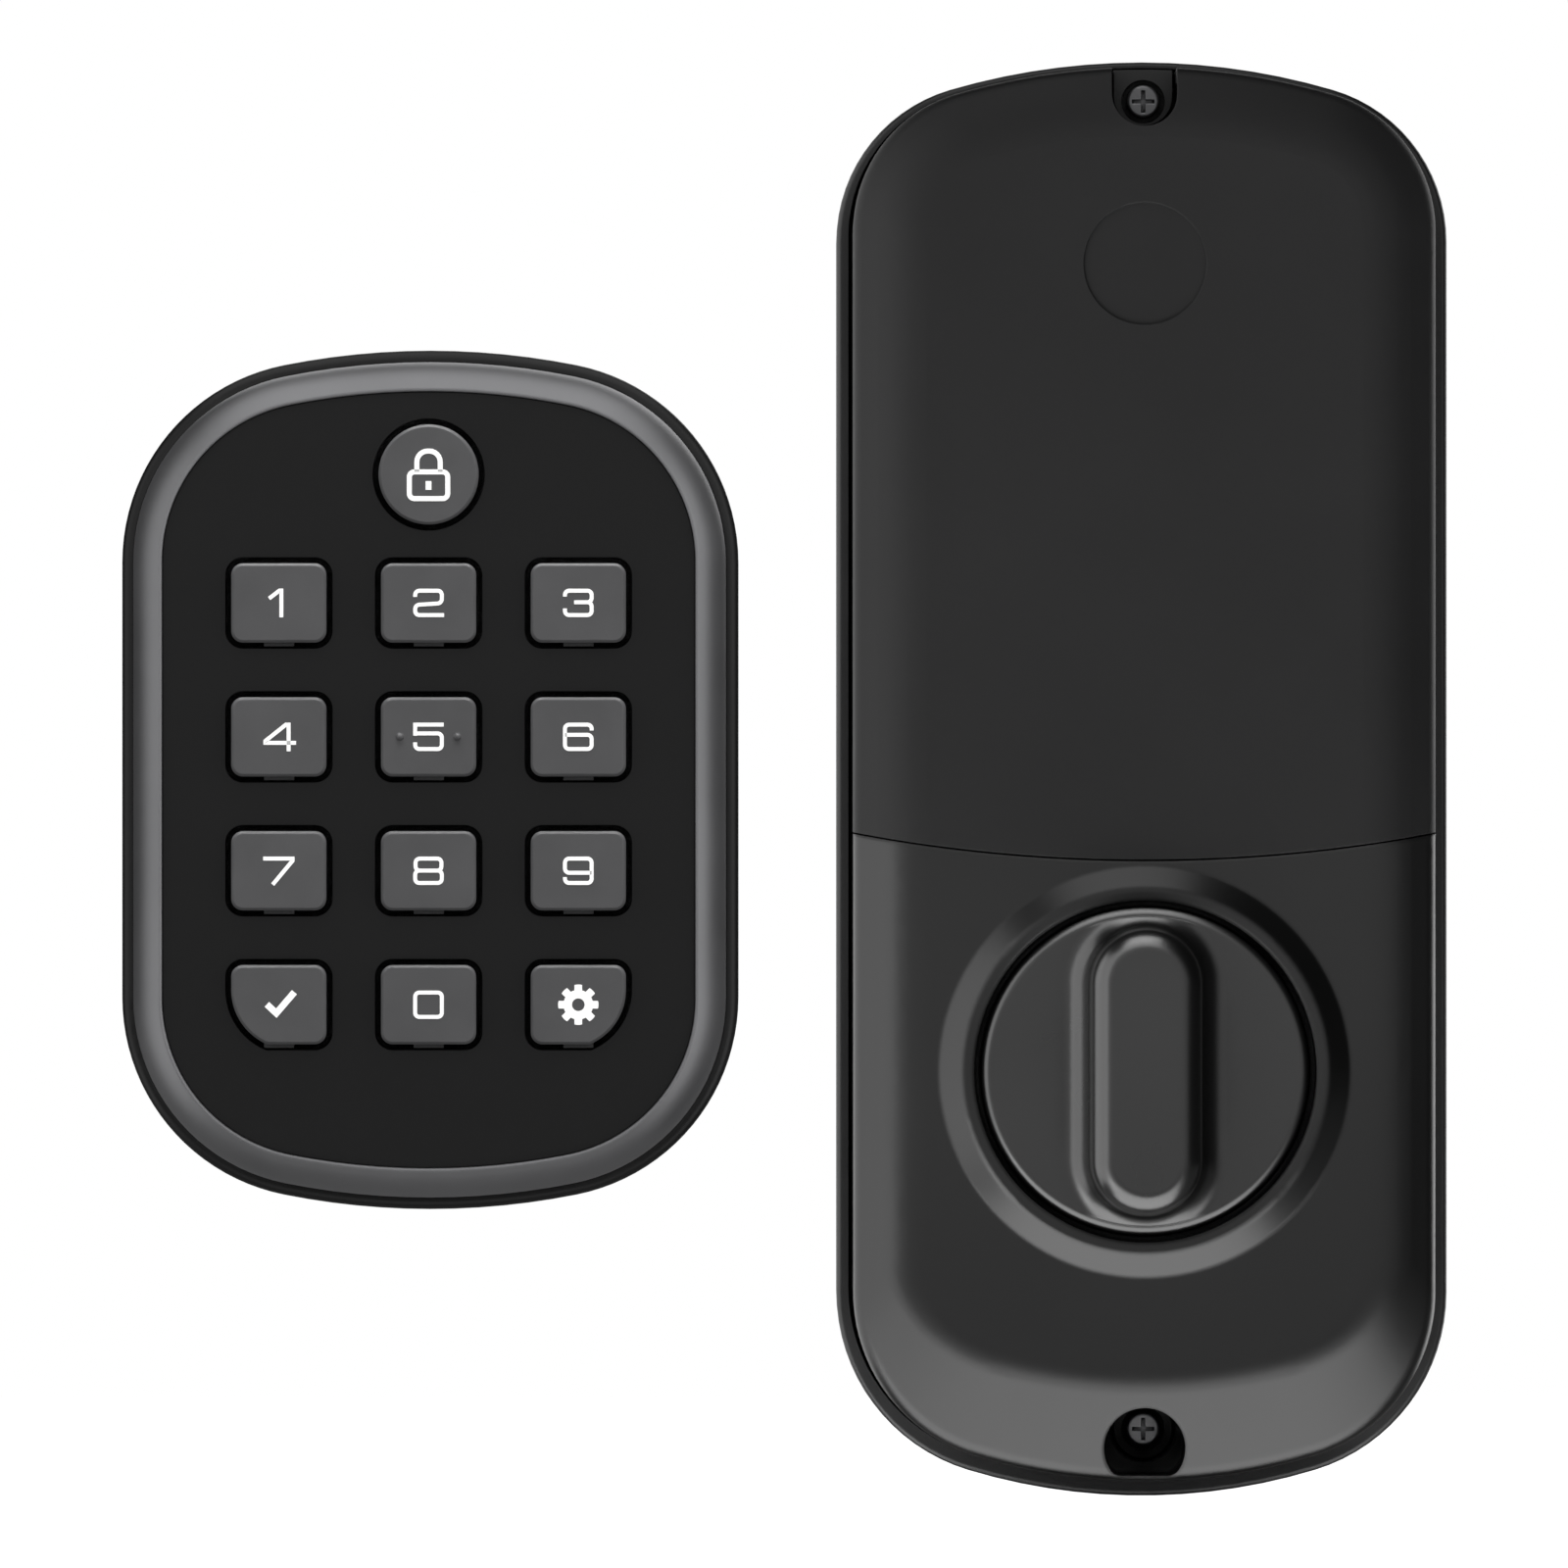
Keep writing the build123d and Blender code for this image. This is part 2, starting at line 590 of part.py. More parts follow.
def make_case_screws():
    screws = []
    tip = KEYPAD_SHELL_DEPTH + FACE_SKIRT
    for x, z in CASE_SCREWS:
        head = disc(x, z, CASE_HEAD_RADIUS, KEYPAD_BACK, KEYPAD_BACK + CASE_HEAD_THICK)
        head -= cross_slot(x, z, CASE_HEAD_RADIUS * 0.65, KEYPAD_BACK, KEYPAD_BACK + CASE_HEAD_THICK / 2)
        screws.append(head + disc(x, z, CASE_SCREW_RADIUS, KEYPAD_BACK + CASE_HEAD_THICK, tip))
    return screws


def make_keypad_parts():
    width, height = CABLE_SOCKET
    socket = slab(Pos(0, CABLE_Z) * Rectangle(width, height), KEYPAD_FLOOR + 1, BOARD_BACK)
    return {
        "rear_gasket": keypad_ring(GASKET_INSET, GASKET_INSET + GASKET_WIDTH, 0, GASKET_THICK),
        "keypad_rear_shell": make_keypad_shell(),
        "keypad_bezel": make_bezel(),
        "keypad_face_plate": make_face_plate(),
        "rubber_keymat": make_keymat(),
        "keypad_circuit_board": make_keypad_board(),
        "keypad_cable_socket": socket,
        "buzzer": disc(0, BUZZER_Z, BUZZER_RADIUS, BOARD_BACK - BUZZER_THICK, BOARD_BACK),
        "through_bolt_posts": make_posts(),
        "keypad_case_screws": make_case_screws(),
        "jump_start_terminals": make_terminals(),
        "wake_button": make_wake_button(),
        **make_keys(),
    }


# ---------------------------------------------------------------- interior unit: base and covers

def make_mounting_plate():
    plate = slab(BASE_OUTLINE.inset(BASE_WALL + PLATE_GAP).face(), 0, PLATE_THICK)
    plate -= disc(0, 0, PLATE_SPINDLE_RADIUS, 0, PLATE_THICK)
    plate -= slab(Pos(0, CABLE_Z + 3) * Rot(0, 0, 90) * stadium(CABLE_HEIGHT, CABLE_WIDTH), 0, PLATE_THICK)
    for x, z in BOLTS:
        plate -= disc(x, z, BOLT_HOLE_RADIUS, 0, PLATE_THICK)
    for x, z in COVER_SCREWS:
        plate -= disc(x, z, COVER_SCREW_RADIUS + COVER_SCREW_THREAD_FIT, 0, PLATE_THICK)
    return plate


def notch_face(grow=0.0):
    """The slot at the top of the battery cover that leaves the upper screw in reach."""
    radius = NOTCH_RADIUS + grow
    reach = BASE_TOP - NOTCH_Z
    return Pos(0, NOTCH_Z) * (Circle(radius) + Pos(0, reach / 2) * Rectangle(2 * radius, reach))


def bottom_pocket_face(grow=0.0):
    """The flat-bottomed round opening in front of the lower screw."""
    radius = BOTTOM_POCKET_RADIUS + grow
    below = Pos(0, -BOTTOM_POCKET_FLAT - grow - radius) * Rectangle(4 * radius, 2 * radius)
    pocket = Circle(radius) - below
    pocket = fillet(pocket.vertices(), BOTTOM_POCKET_ROUND)
    return Pos(0, BOTTOM_POCKET_Z) * pocket


def make_chassis():
    base = slab(BASE_OUTLINE.face(), 0, BASE_DEPTH)
    base = fillet(front_edges(base, BASE_DEPTH), BASE_EDGE_ROUND)
    base -= slab(COVER_OUTLINE.inset(-COVER_GROOVE).face(), COVER_BACK, BASE_DEPTH)
    base -= slab(BASE_OUTLINE.inset(BASE_WALL).face(), 0, BASE_FLOOR_BACK)
    base -= disc(0, 0, PLATE_SPINDLE_RADIUS, BASE_FLOOR_BACK, BASE_DEPTH)
    base -= disc(MOTOR_X, MOTOR_Z, MOTOR_RADIUS + 0.4, BASE_FLOOR_BACK, BASE_DEPTH)
    base -= slab(Pos(0, CABLE_Z + 3) * Rot(0, 0, 90) * stadium(CABLE_HEIGHT, CABLE_WIDTH), 0, BASE_DEPTH)
    upper = notch_face(-BOSS_CLEARANCE) & COVER_OUTLINE.face()
    lower = Pos(0, BOTTOM_SCREW_Z) * Circle(NOTCH_RADIUS - BOSS_CLEARANCE)
    base += slab(upper + lower, PLATE_THICK, BOSS_FRONT)
    for x, z in COVER_SCREWS:
        base -= disc(x, z, COVER_SCREW_HOLE, PLATE_THICK, BOSS_FRONT)
        base -= disc(x, z, COVER_HEAD_POCKET, BOSS_FRONT - COVER_HEAD_SUNK, BOSS_FRONT)
    for x, z in GEAR_PLATE_POSTS:
        base += disc(x, z, POST_WALL + PIN_RADIUS, BASE_FLOOR_BACK, GEAR_PLATE_BACK)
    for side in (-1, 1):
        rib = Pos(side * TRAY_RIB_X, BAY_BOTTOM + BAY_LENGTH / 2) * Rectangle(TRAY_RIB_WIDTH, BAY_LENGTH)
        base += slab(rib, BASE_FLOOR_BACK, TRAY_FLOOR_BACK)
    pad = Pos(0, MODULE_MIDDLE) * Rectangle(MODULE_WIDTH * 0.7, MODULE_PAD)
    base += slab(pad, BASE_FLOOR_BACK, MODULE_BACK - SOCKET_THICK)
    for x, z in BOARD_POSTS:
        base += disc(x, z, BOARD_POST_RADIUS, MAIN_BOARD_BACK + BOARD_THICK, COVER_BACK)
    return base


def faceted(outline, back, front):
    """A cover's full body: upright walls, then a sloping facet all round a flat front."""
    crown = Outline(
        outline.half_width - FACET_SIDE,
        outline.top - FACET_TOP,
        outline.bottom + FACET_BOTTOM,
        outline.top_arc,
        outline.top_corner - FACET_CORNER_LOSS,
        outline.bottom_arc,
        outline.bottom_corner - FACET_CORNER_LOSS,
    )
    shoulder = front - FACET_DROP
    sections = [Plane.XZ.offset(shoulder) * outline.face(), Plane.XZ.offset(front) * crown.face()]
    return slab(outline.face(), back, shoulder) + loft(sections, ruled=True)


def make_covers():
    """The battery cover and the lower cover, cut from one shell along the seam."""
    outer = faceted(COVER_OUTLINE, COVER_BACK, COVER_FRONT)
    outer = fillet(front_edges(outer, COVER_FRONT), FACET_BLEND)
    outer = fillet(front_edges(outer, COVER_FRONT - FACET_DROP), COVER_EDGE_ROUND)
    cavity = faceted(COVER_OUTLINE.inset(COVER_WALL), 0, COVER_FRONT - COVER_WALL)
    shell = outer - cavity
    reach = 2 * SEAM_RADIUS
    seam_centre = SEAM_Z + SEAM_RADIUS
    above = slab(Pos(0, seam_centre) * Circle(SEAM_RADIUS), 0, reach)
    below = slab(Pos(0, seam_centre) * Circle(SEAM_RADIUS + SEAM_GAP), 0, reach)
    upper = shell & above
    lower = shell - below
    upper -= slab(notch_face(), 0, reach)
    upper -= disc(0, MARK_Z, MARK_RADIUS, COVER_FRONT - MARK_DEPTH, reach)
    ring = Pos(0, seam_centre) * (Circle(SEAM_RADIUS + SEAM_GAP + SEAM_LIP) - Circle(SEAM_RADIUS + SEAM_GAP))
    bulkhead = ring & COVER_OUTLINE.inset(COVER_WALL / 2).face()
    lower += slab(bulkhead, COVER_BACK, COVER_FRONT - COVER_WALL) & outer
    cup = slab(bottom_pocket_face(POCKET_WALL), BOSS_FRONT - POCKET_WALL, COVER_FRONT)
    lower += cup & outer
    lower += make_collar()
    pocket = TURN_RADIUS + TURN_GAP
    lower -= disc(0, 0, pocket, POCKET_FLOOR, reach)
    lower -= disc(0, 0, SPINDLE_RADIUS + BUSH_CLEARANCE + BUSH_WALL, 0, reach)
    lower -= slab(bottom_pocket_face(), BOSS_FRONT, reach)
    lower -= disc(0, BOTTOM_SCREW_Z, NOTCH_RADIUS, 0, BOSS_FRONT + REST_GAP)
    return upper, lower


def make_collar():
    """The raised ring round the thumb-turn, with the wall of its pocket behind it."""
    inner = TURN_RADIUS + TURN_GAP
    foot = (COLLAR_OUTER, -COVER_FRONT)
    shoulder = (COLLAR_CREST + COLLAR_ROUND, COLLAR_ROUND / 3 - COLLAR_FRONT)
    crest = (COLLAR_CREST, -COLLAR_FRONT)
    lip = (inner, COLLAR_BEVEL - COLLAR_FRONT)
    sweep_in = Line(
        lip,
        (inner, -POCKET_FLOOR),
    )
    back = Polyline(
        (inner, -POCKET_FLOOR),
        (0, -POCKET_FLOOR),
        (0, -POCKET_INNER),
        (COLLAR_OUTER - COVER_WALL, -POCKET_INNER),
        (COLLAR_OUTER, COVER_WALL / 2 - COVER_FRONT),
        foot,
    )
    slope = Line(foot, shoulder)
    edge = TangentArc(shoulder, crest, tangent=slope % 1)
    profile = make_face([sweep_in, *back.edges(), slope, edge, Line(crest, lip)])
    return revolve(profile, Axis.Y)


def make_cover_screws():
    screws = []
    seat = BOSS_FRONT - COVER_HEAD_SUNK
    for x, z in COVER_SCREWS:
        head = disc(x, z, COVER_HEAD_RADIUS, seat, seat + COVER_HEAD_THICK)
        head = fillet(front_edges(head, seat + COVER_HEAD_THICK), COVER_HEAD_THICK / 4)
        slot_back = seat + COVER_HEAD_THICK / 2
        head -= cross_slot(x, z, COVER_HEAD_RADIUS * 0.68, slot_back, seat + COVER_HEAD_THICK)
        screws.append(head + disc(x, z, COVER_SCREW_RADIUS, REST_GAP, seat))
    return screws


# ---------------------------------------------------------------- interior unit: thumb-turn

def make_thumb_turn():
    """A disc with a rounded edge and a bar whose foot flares out into the disc."""
    body = disc(0, 0, 1.6 * TURN_RADIUS, TURN_BACK, TURN_FRONT)
    foot = Plane.XZ.offset(TURN_FRONT) * stadium(*BAR_FOOT)
    top = Plane.XZ.offset(BAR_FRONT) * stadium(*BAR_TOP)
    bar = loft([foot, top], ruled=True)
    bar = fillet(front_edges(bar, BAR_FRONT), BAR_TOP_ROUND)
    body += bar
    joint = front_edges(body, TURN_FRONT).filter_by(lambda edge: max(abs(v.X) for v in edge.vertices()) < TURN_RADIUS)
    body = fillet(joint, BAR_FOOT_ROUND)
    back = (TURN_RADIUS, -TURN_BACK)
    edge_start = (TURN_RADIUS, TURN_EDGE_ROUND - TURN_FRONT)
    edge_end = (TURN_RADIUS - TURN_EDGE_ROUND, -TURN_FRONT)
    edge = TangentArc(edge_start, edge_end, tangent=(0, -1))
    front = Polyline(
        edge_end,
        (TURN_RADIUS - TURN_EDGE_ROUND, -BAR_FRONT - 1),
        (0, -BAR_FRONT - 1),
        (0, -TURN_BACK),
        back,
    )
    envelope = revolve(make_face([Line(back, edge_start), edge, *front.edges()]), Axis.Y)
    return body & envelope


def make_spindle():
    spindle = disc(0, 0, SPINDLE_RADIUS, THIRD_LAYER, TURN_BACK)
    spindle += disc(0, 0, SPINDLE_THIN_RADIUS, SPINDLE_BACK, THIRD_LAYER)
    slot = Rectangle(TAILPIECE_THICK, 2 * SPINDLE_RADIUS)
    spindle -= slab(slot, SPINDLE_BACK, SPINDLE_BACK + TAILPIECE_GRIP)
    groove = Circle(SPINDLE_THIN_RADIUS) - Circle(CLIP_BORE)
    return spindle - slab(groove, CLIP_BACK, CLIP_BACK + CLIP_THICK)


def make_tailpiece():
    blade = Rectangle(TAILPIECE_THICK, TAILPIECE_WIDTH)
    return slab(blade, -TAILPIECE_REACH, SPINDLE_BACK + TAILPIECE_GRIP)


CLIP_BORE = SPINDLE_THIN_RADIUS - 0.6
CLIP_BACK = GEAR_PLATE_BACK - CLIP_THICK - REST_GAP


def make_spindle_clip():
    ring = Circle(CLIP_RADIUS) - Circle(CLIP_BORE)
    mouth = Pos(0, -CLIP_RADIUS / 2) * Rectangle(CLIP_BORE, CLIP_RADIUS)
    return slab(ring - mouth, CLIP_BACK, CLIP_BACK + CLIP_THICK)


def make_bush():
    bore = SPINDLE_RADIUS + BUSH_CLEARANCE
    outer = bore + BUSH_WALL
    sleeve = Circle(outer) - Circle(bore)
    return slab(sleeve, POCKET_INNER, POCKET_FLOOR)


# ---------------------------------------------------------------- interior unit: gear train

def gear_face(teeth, towards, tooth_there):
    """A spur gear's outline. A tooth, or else a gap, points in the direction towards, in degrees."""
    pitch = GEAR_MODULE * teeth / 2
    base = pitch * cos(radians(GEAR_PRESSURE_ANGLE))
    root = pitch - GEAR_DEDENDUM * GEAR_MODULE
    tip = pitch + GEAR_ADDENDUM * GEAR_MODULE

    def involute(radius):
        angle = acos(min(1.0, base / radius))
        return tan(angle) - angle

    half_tooth = (pi / 2 - GEAR_BACKLASH / GEAR_MODULE) / teeth

    def half_angle(radius):
        return half_tooth + involute(pitch) - involute(max(radius, base))

    start = radians(towards) + (0 if tooth_there else pi / teeth)
    points = []
    for tooth in range(teeth):
        middle = start + 2 * pi * tooth / teeth
        for radius in (root, pitch, tip):
            angle = middle - half_angle(radius)
            points.append((radius * cos(angle), radius * sin(angle)))
        for radius in (tip, pitch, root):
            angle = middle + half_angle(radius)
            points.append((radius * cos(angle), radius * sin(angle)))
    return make_face(Polyline(*points, close=True))


def mesh_distance(teeth, other_teeth):
    return GEAR_MODULE * (teeth + other_teeth) / 2


def gear_places():
    """The fast idler goes beside the motor, and the slow idler where it meets both its neighbours."""
    reach = mesh_distance(FAST_IDLER_TEETH, SMALL_TEETH)
    fast = (
        MOTOR_X + reach * cos(radians(FAST_IDLER_ANGLE)),
        MOTOR_Z + reach * sin(radians(FAST_IDLER_ANGLE)),
    )
    to_main = mesh_distance(MAIN_TEETH, SMALL_TEETH)
    to_fast = mesh_distance(SLOW_IDLER_TEETH, SMALL_TEETH)
    apart = sqrt(fast[0] ** 2 + fast[1] ** 2)
    along = (to_main**2 - to_fast**2 + apart**2) / (2 * apart)
    across = sqrt(to_main**2 - along**2)
    unit = (fast[0] / apart, fast[1] / apart)
    slow = (
        along * unit[0] + across * unit[1],
        along * unit[1] - across * unit[0],
    )
    return slow, fast


def heading(start, end):
    """The direction from one point to another, in degrees."""
    return degrees(atan2(end[1] - start[1], end[0] - start[0]))


SLOW_IDLER, FAST_IDLER = gear_places()
MOTOR = (MOTOR_X, MOTOR_Z)
POST_WALL = 1.6
GEAR_PLATE_POSTS = [(-24.0, 10.0), (24.0, 10.0), (-20.0, -32.0)]


def make_main_gear():
    outline = gear_face(MAIN_TEETH, heading((0, 0), SLOW_IDLER), True)
    return slab(outline - Circle(SPINDLE_RADIUS), THIRD_LAYER, GEARS_FRONT)


def make_idler(place, big_teeth, big_towards, small_towards, back):
    """A compound idler: the big gear behind, the small gear in front of it."""
    big = gear_face(big_teeth, heading(place, big_towards), True)
    small = gear_face(SMALL_TEETH, heading(place, small_towards), False)
    split = back + GEAR_THICK
    body = slab(big, back, split) + slab(small, split, split + GEAR_LAYER_GAP + GEAR_THICK)
    body -= disc(0, 0, PIN_RADIUS + PIN_CLEARANCE, back, split + 2 * GEAR_THICK)
    return Pos(place[0], 0, place[1]) * body


def make_pinion():
    outline = gear_face(SMALL_TEETH, heading(MOTOR, FAST_IDLER), False)
    body = slab(outline - Circle(MOTOR_SHAFT_RADIUS), FIRST_LAYER, FIRST_LAYER + GEAR_THICK)
    shaft = slab(Circle(MOTOR_SHAFT_RADIUS), MOTOR_FACE_FRONT, FIRST_LAYER + GEAR_THICK + GEAR_LAYER_GAP)
    place = Pos(MOTOR_X, 0, MOTOR_Z)
    return place * body, place * shaft


MOTOR_FACE_FRONT = GEAR_PLATE_BACK + REST_GAP


def make_motor():
    can = disc(*MOTOR, MOTOR_RADIUS, MOTOR_BACK, GEAR_PLATE_BACK)
    can = fillet(front_edges(can, MOTOR_BACK), 1.0)
    cap = disc(*MOTOR, MOTOR_RADIUS * 0.3, MOTOR_BACK - 0.5, MOTOR_BACK)
    return can + cap


def make_gear_plate():
    middle = (GEAR_PLATE_TOP + GEAR_PLATE_BOTTOM) / 2
    field = Pos(0, middle) * Rectangle(2 * BASE_HALF_WIDTH, GEAR_PLATE_TOP - GEAR_PLATE_BOTTOM)
    outline = COVER_OUTLINE.inset(COVER_WALL + GEAR_PLATE_INSET).face() & field
    front = GEAR_PLATE_BACK + GEAR_PLATE_THICK
    plate = slab(outline, GEAR_PLATE_BACK, front)
    plate -= disc(0, 0, SPINDLE_THIN_RADIUS + BUSH_CLEARANCE, 0, front)
    plate -= disc(*MOTOR, 3.0, 0, front)
    for x, z in (SLOW_IDLER, FAST_IDLER, *GEAR_PLATE_POSTS):
        plate -= disc(x, z, PIN_RADIUS, 0, front)
    return plate


def make_bridge():
    """The strap that holds the front ends of the two idler pins."""
    between = heading(SLOW_IDLER, FAST_IDLER)
    length = mesh_distance(SLOW_IDLER_TEETH, SMALL_TEETH) + 2 * BRIDGE_RADIUS
    middle = ((SLOW_IDLER[0] + FAST_IDLER[0]) / 2, (SLOW_IDLER[1] + FAST_IDLER[1]) / 2)
    strap = Pos(*middle) * Rot(0, 0, between + 90) * stadium(2 * BRIDGE_RADIUS, length)
    bridge = slab(strap, GEARS_FRONT + GEAR_LAYER_GAP, GEARS_FRONT + GEAR_LAYER_GAP + BRIDGE_THICK)
    for x, z in (SLOW_IDLER, FAST_IDLER):
        bridge -= disc(x, z, PIN_RADIUS, 0, COVER_FRONT)
    return bridge


def make_pins():
    front = GEARS_FRONT + GEAR_LAYER_GAP + BRIDGE_THICK
    return [disc(x, z, PIN_RADIUS, GEAR_PLATE_BACK, front) for x, z in (SLOW_IDLER, FAST_IDLER)]


def make_gear_plate_screws():
    screws = []
    seat = GEAR_PLATE_BACK + GEAR_PLATE_THICK
    for x, z in GEAR_PLATE_POSTS:
        head = disc(x, z, 2 * PIN_RADIUS, seat, seat + PIN_RADIUS)
        head -= cross_slot(x, z, PIN_RADIUS * 1.3, seat + PIN_RADIUS / 2, seat + PIN_RADIUS)
        screws.append(head + disc(x, z, PIN_RADIUS, GEAR_PLATE_BACK, seat))
    return screws


# ---------------------------------------------------------------- interior unit: power and radio

def make_battery_tray():
    low, high = BAY_BOTTOM - TRAY_WALL, BAY_TOP + TRAY_WALL
    outer = Pos(0, (low + high) / 2) * Rectangle(2 * TRAY_HALF_WIDTH, high - low)
    inner = Pos(0, (BAY_BOTTOM + BAY_TOP) / 2) * Rectangle(CELL_PITCH * CELL_COUNT, BAY_LENGTH)
    tray = slab(outer, TRAY_FLOOR_BACK, TRAY_WALL_FRONT) - slab(inner, TRAY_LAND_FRONT, TRAY_WALL_FRONT)
    for x in CELLS:
        tray -= cell_body(x, CELL_RADIUS + CRADLE_CLEARANCE, BAY_LENGTH, BAY_BOTTOM)
    return tray


def cell_body(x, radius, length, bottom):
    return Pos(x, -CELL_DEPTH, bottom + length / 2) * Cylinder(radius, length)


def cell_is_up(index):
    """Neighbouring cells lie head to tail."""
    return index % 2 == 0


def make_cells():
    cells = {}
    spring_room = BAY_LENGTH - CELL_LENGTH - CELL_NUB - CONTACT_THICK
    for index, x in enumerate(CELLS):
        up = cell_is_up(index)
        bottom = BAY_BOTTOM + (spring_room if up else CELL_NUB + CONTACT_THICK)
        body = fillet(cell_body(x, CELL_RADIUS, CELL_LENGTH, bottom).edges(), 0.6)
        nub_bottom = bottom + CELL_LENGTH if up else bottom - CELL_NUB
        body += cell_body(x, CELL_NUB_RADIUS, CELL_NUB, nub_bottom)
        cells[f"battery_cell_{index + 1}"] = body
    return cells


def make_contacts():
    """The plate behind each end of each cell."""
    plates = []
    for x in CELLS:
        for z in (BAY_BOTTOM, BAY_TOP - CONTACT_THICK):
            plate = Box(CONTACT_SIZE, CONTACT_SIZE, CONTACT_THICK)
            plates.append(Pos(x, -CELL_DEPTH, z + CONTACT_THICK / 2) * plate)
    return plates


def make_springs():
    """A coil between each cell's flat end and its contact plate."""
    springs = []
    room = BAY_LENGTH - CELL_LENGTH - CELL_NUB - 2 * CONTACT_THICK
    height = room - 2 * SPRING_WIRE - 2 * REST_GAP
    for index, x in enumerate(CELLS):
        coil = Helix(height / SPRING_TURNS, height, SPRING_RADIUS)
        section = Plane(coil @ 0, z_dir=coil % 0) * Circle(SPRING_WIRE)
        spring = sweep(section, path=coil)
        end = BAY_BOTTOM + CONTACT_THICK if cell_is_up(index) else BAY_TOP - CONTACT_THICK - room
        springs.append(Pos(x, -CELL_DEPTH, end + SPRING_WIRE + REST_GAP) * spring)
    return springs


def make_radio_module():
    outline = Pos(0, MODULE_MIDDLE) * RectangleRounded(MODULE_WIDTH, MODULE_HEIGHT, 2.0)
    module = slab(outline, MODULE_BACK, MODULE_FRONT)
    module = fillet(front_edges(module, MODULE_FRONT), 0.8)
    for step in (-1, 0, 1):
        groove = Pos(0, MODULE_MIDDLE + 2.2 * step) * Rectangle(MODULE_WIDTH * 0.4, 0.9)
        module -= slab(groove, MODULE_FRONT - 0.5, MODULE_FRONT)
    return module


def make_main_board():
    height = MAIN_BOARD_TOP - MAIN_BOARD_BOTTOM
    outline = Pos(0, MAIN_BOARD_BOTTOM + height / 2) * RectangleRounded(2 * MAIN_BOARD_HALF_WIDTH, height, 2.0)
    return slab(outline, MAIN_BOARD_BACK, MAIN_BOARD_BACK + BOARD_THICK)


def make_board_chips():
    """The driver, the processor and the cable socket on the main board."""
    front = MAIN_BOARD_BACK + BOARD_THICK
    places = ((-14.0, 70.0, 9.0, 9.0, 1.4), (12.0, 78.0, 7.0, 7.0, 1.2), (0.0, 34.0, 12.0, 5.0, 1.8))
    return [
        slab(Pos(x, z) * Rectangle(width, height), front, front + thick)
        for x, z, width, height, thick in places
    ]


def make_interior_parts():
    battery_cover, lower_cover = make_covers()
    pinion, motor_shaft = make_pinion()
    plug = Pos(0, MODULE_MIDDLE) * Rectangle(MODULE_WIDTH * 0.6, 5.0)
    socket = slab(plug, MODULE_BACK - SOCKET_THICK, MODULE_BACK)
    return {
        "mounting_plate": make_mounting_plate(),
        "interior_chassis": make_chassis(),
        "battery_cover": battery_cover,
        "lower_cover": lower_cover,
        "cover_screws": make_cover_screws(),
        "thumb_turn": make_thumb_turn(),
        "thumb_turn_spindle": make_spindle(),
        "spindle_bush": make_bush(),
        "spindle_clip": make_spindle_clip(),
        "tailpiece": make_tailpiece(),
        "main_gear": make_main_gear(),
        "slow_idler_gear": make_idler(SLOW_IDLER, SLOW_IDLER_TEETH, FAST_IDLER, (0, 0), SECOND_LAYER),
        "fast_idler_gear": make_idler(FAST_IDLER, FAST_IDLER_TEETH, MOTOR, SLOW_IDLER, FIRST_LAYER),
        "motor_pinion": pinion,
        "motor_shaft": motor_shaft,
        "motor": make_motor(),
        "gear_plate": make_gear_plate(),
        "gear_bridge": make_bridge(),
        "gear_pins": make_pins(),
        "gear_plate_screws": make_gear_plate_screws(),
        "battery_tray": make_battery_tray(),
        **make_cells(),
        "battery_contacts": make_contacts(),
        "battery_springs": make_springs(),
        "radio_module": make_radio_module(),
        "radio_socket": socket,
        "main_circuit_board": make_main_board(),
        "main_board_chips": make_board_chips(),
    }


# ---------------------------------------------------------------- write the parts

def write(name, pieces, place):
    if not isinstance(pieces, list):
        pieces = [pieces]
    solids = [place * solid for piece in pieces for solid in piece.solids()]
    whole = solids[0] if len(solids) == 1 else Compound(children=solids)
    export_step(whole, f"parts/{name}.step")


def main():
    os.makedirs("parts", exist_ok=True)
    for name, pieces in make_keypad_parts().items():
        write(name, pieces, Pos(KEYPAD_X, 0, KEYPAD_Z))
    for name, pieces in make_interior_parts().items():
        write(name, pieces, Pos(0, 0, 0))
    for name, (x, z) in (("slow_idler", SLOW_IDLER), ("fast_idler", FAST_IDLER), ("motor", MOTOR)):
        print(f"{name} axis x {x:.4f} z {z:.4f}")
    print(f"key front {KEY_FRONT:.3f} face front {FACE_FRONT:.3f} key back {KEY_BACK:.3f}")


main()
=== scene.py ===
# %% [markdown]
# # A keypad door lock
# A motorised door lock comes in two units. The keypad goes on the outside of the door, and the
# unit with the batteries and the thumb-turn goes on the inside. Here they stand side by side.
#
# Every part with a real size was made in CAD, and it is loaded first as a fixed frame. This
# script adds what CAD leaves out: the printed numerals, the finishes, the light and the camera.
# The box round the CAD model is kept and printed at the end.

# %% Load the lock
import math

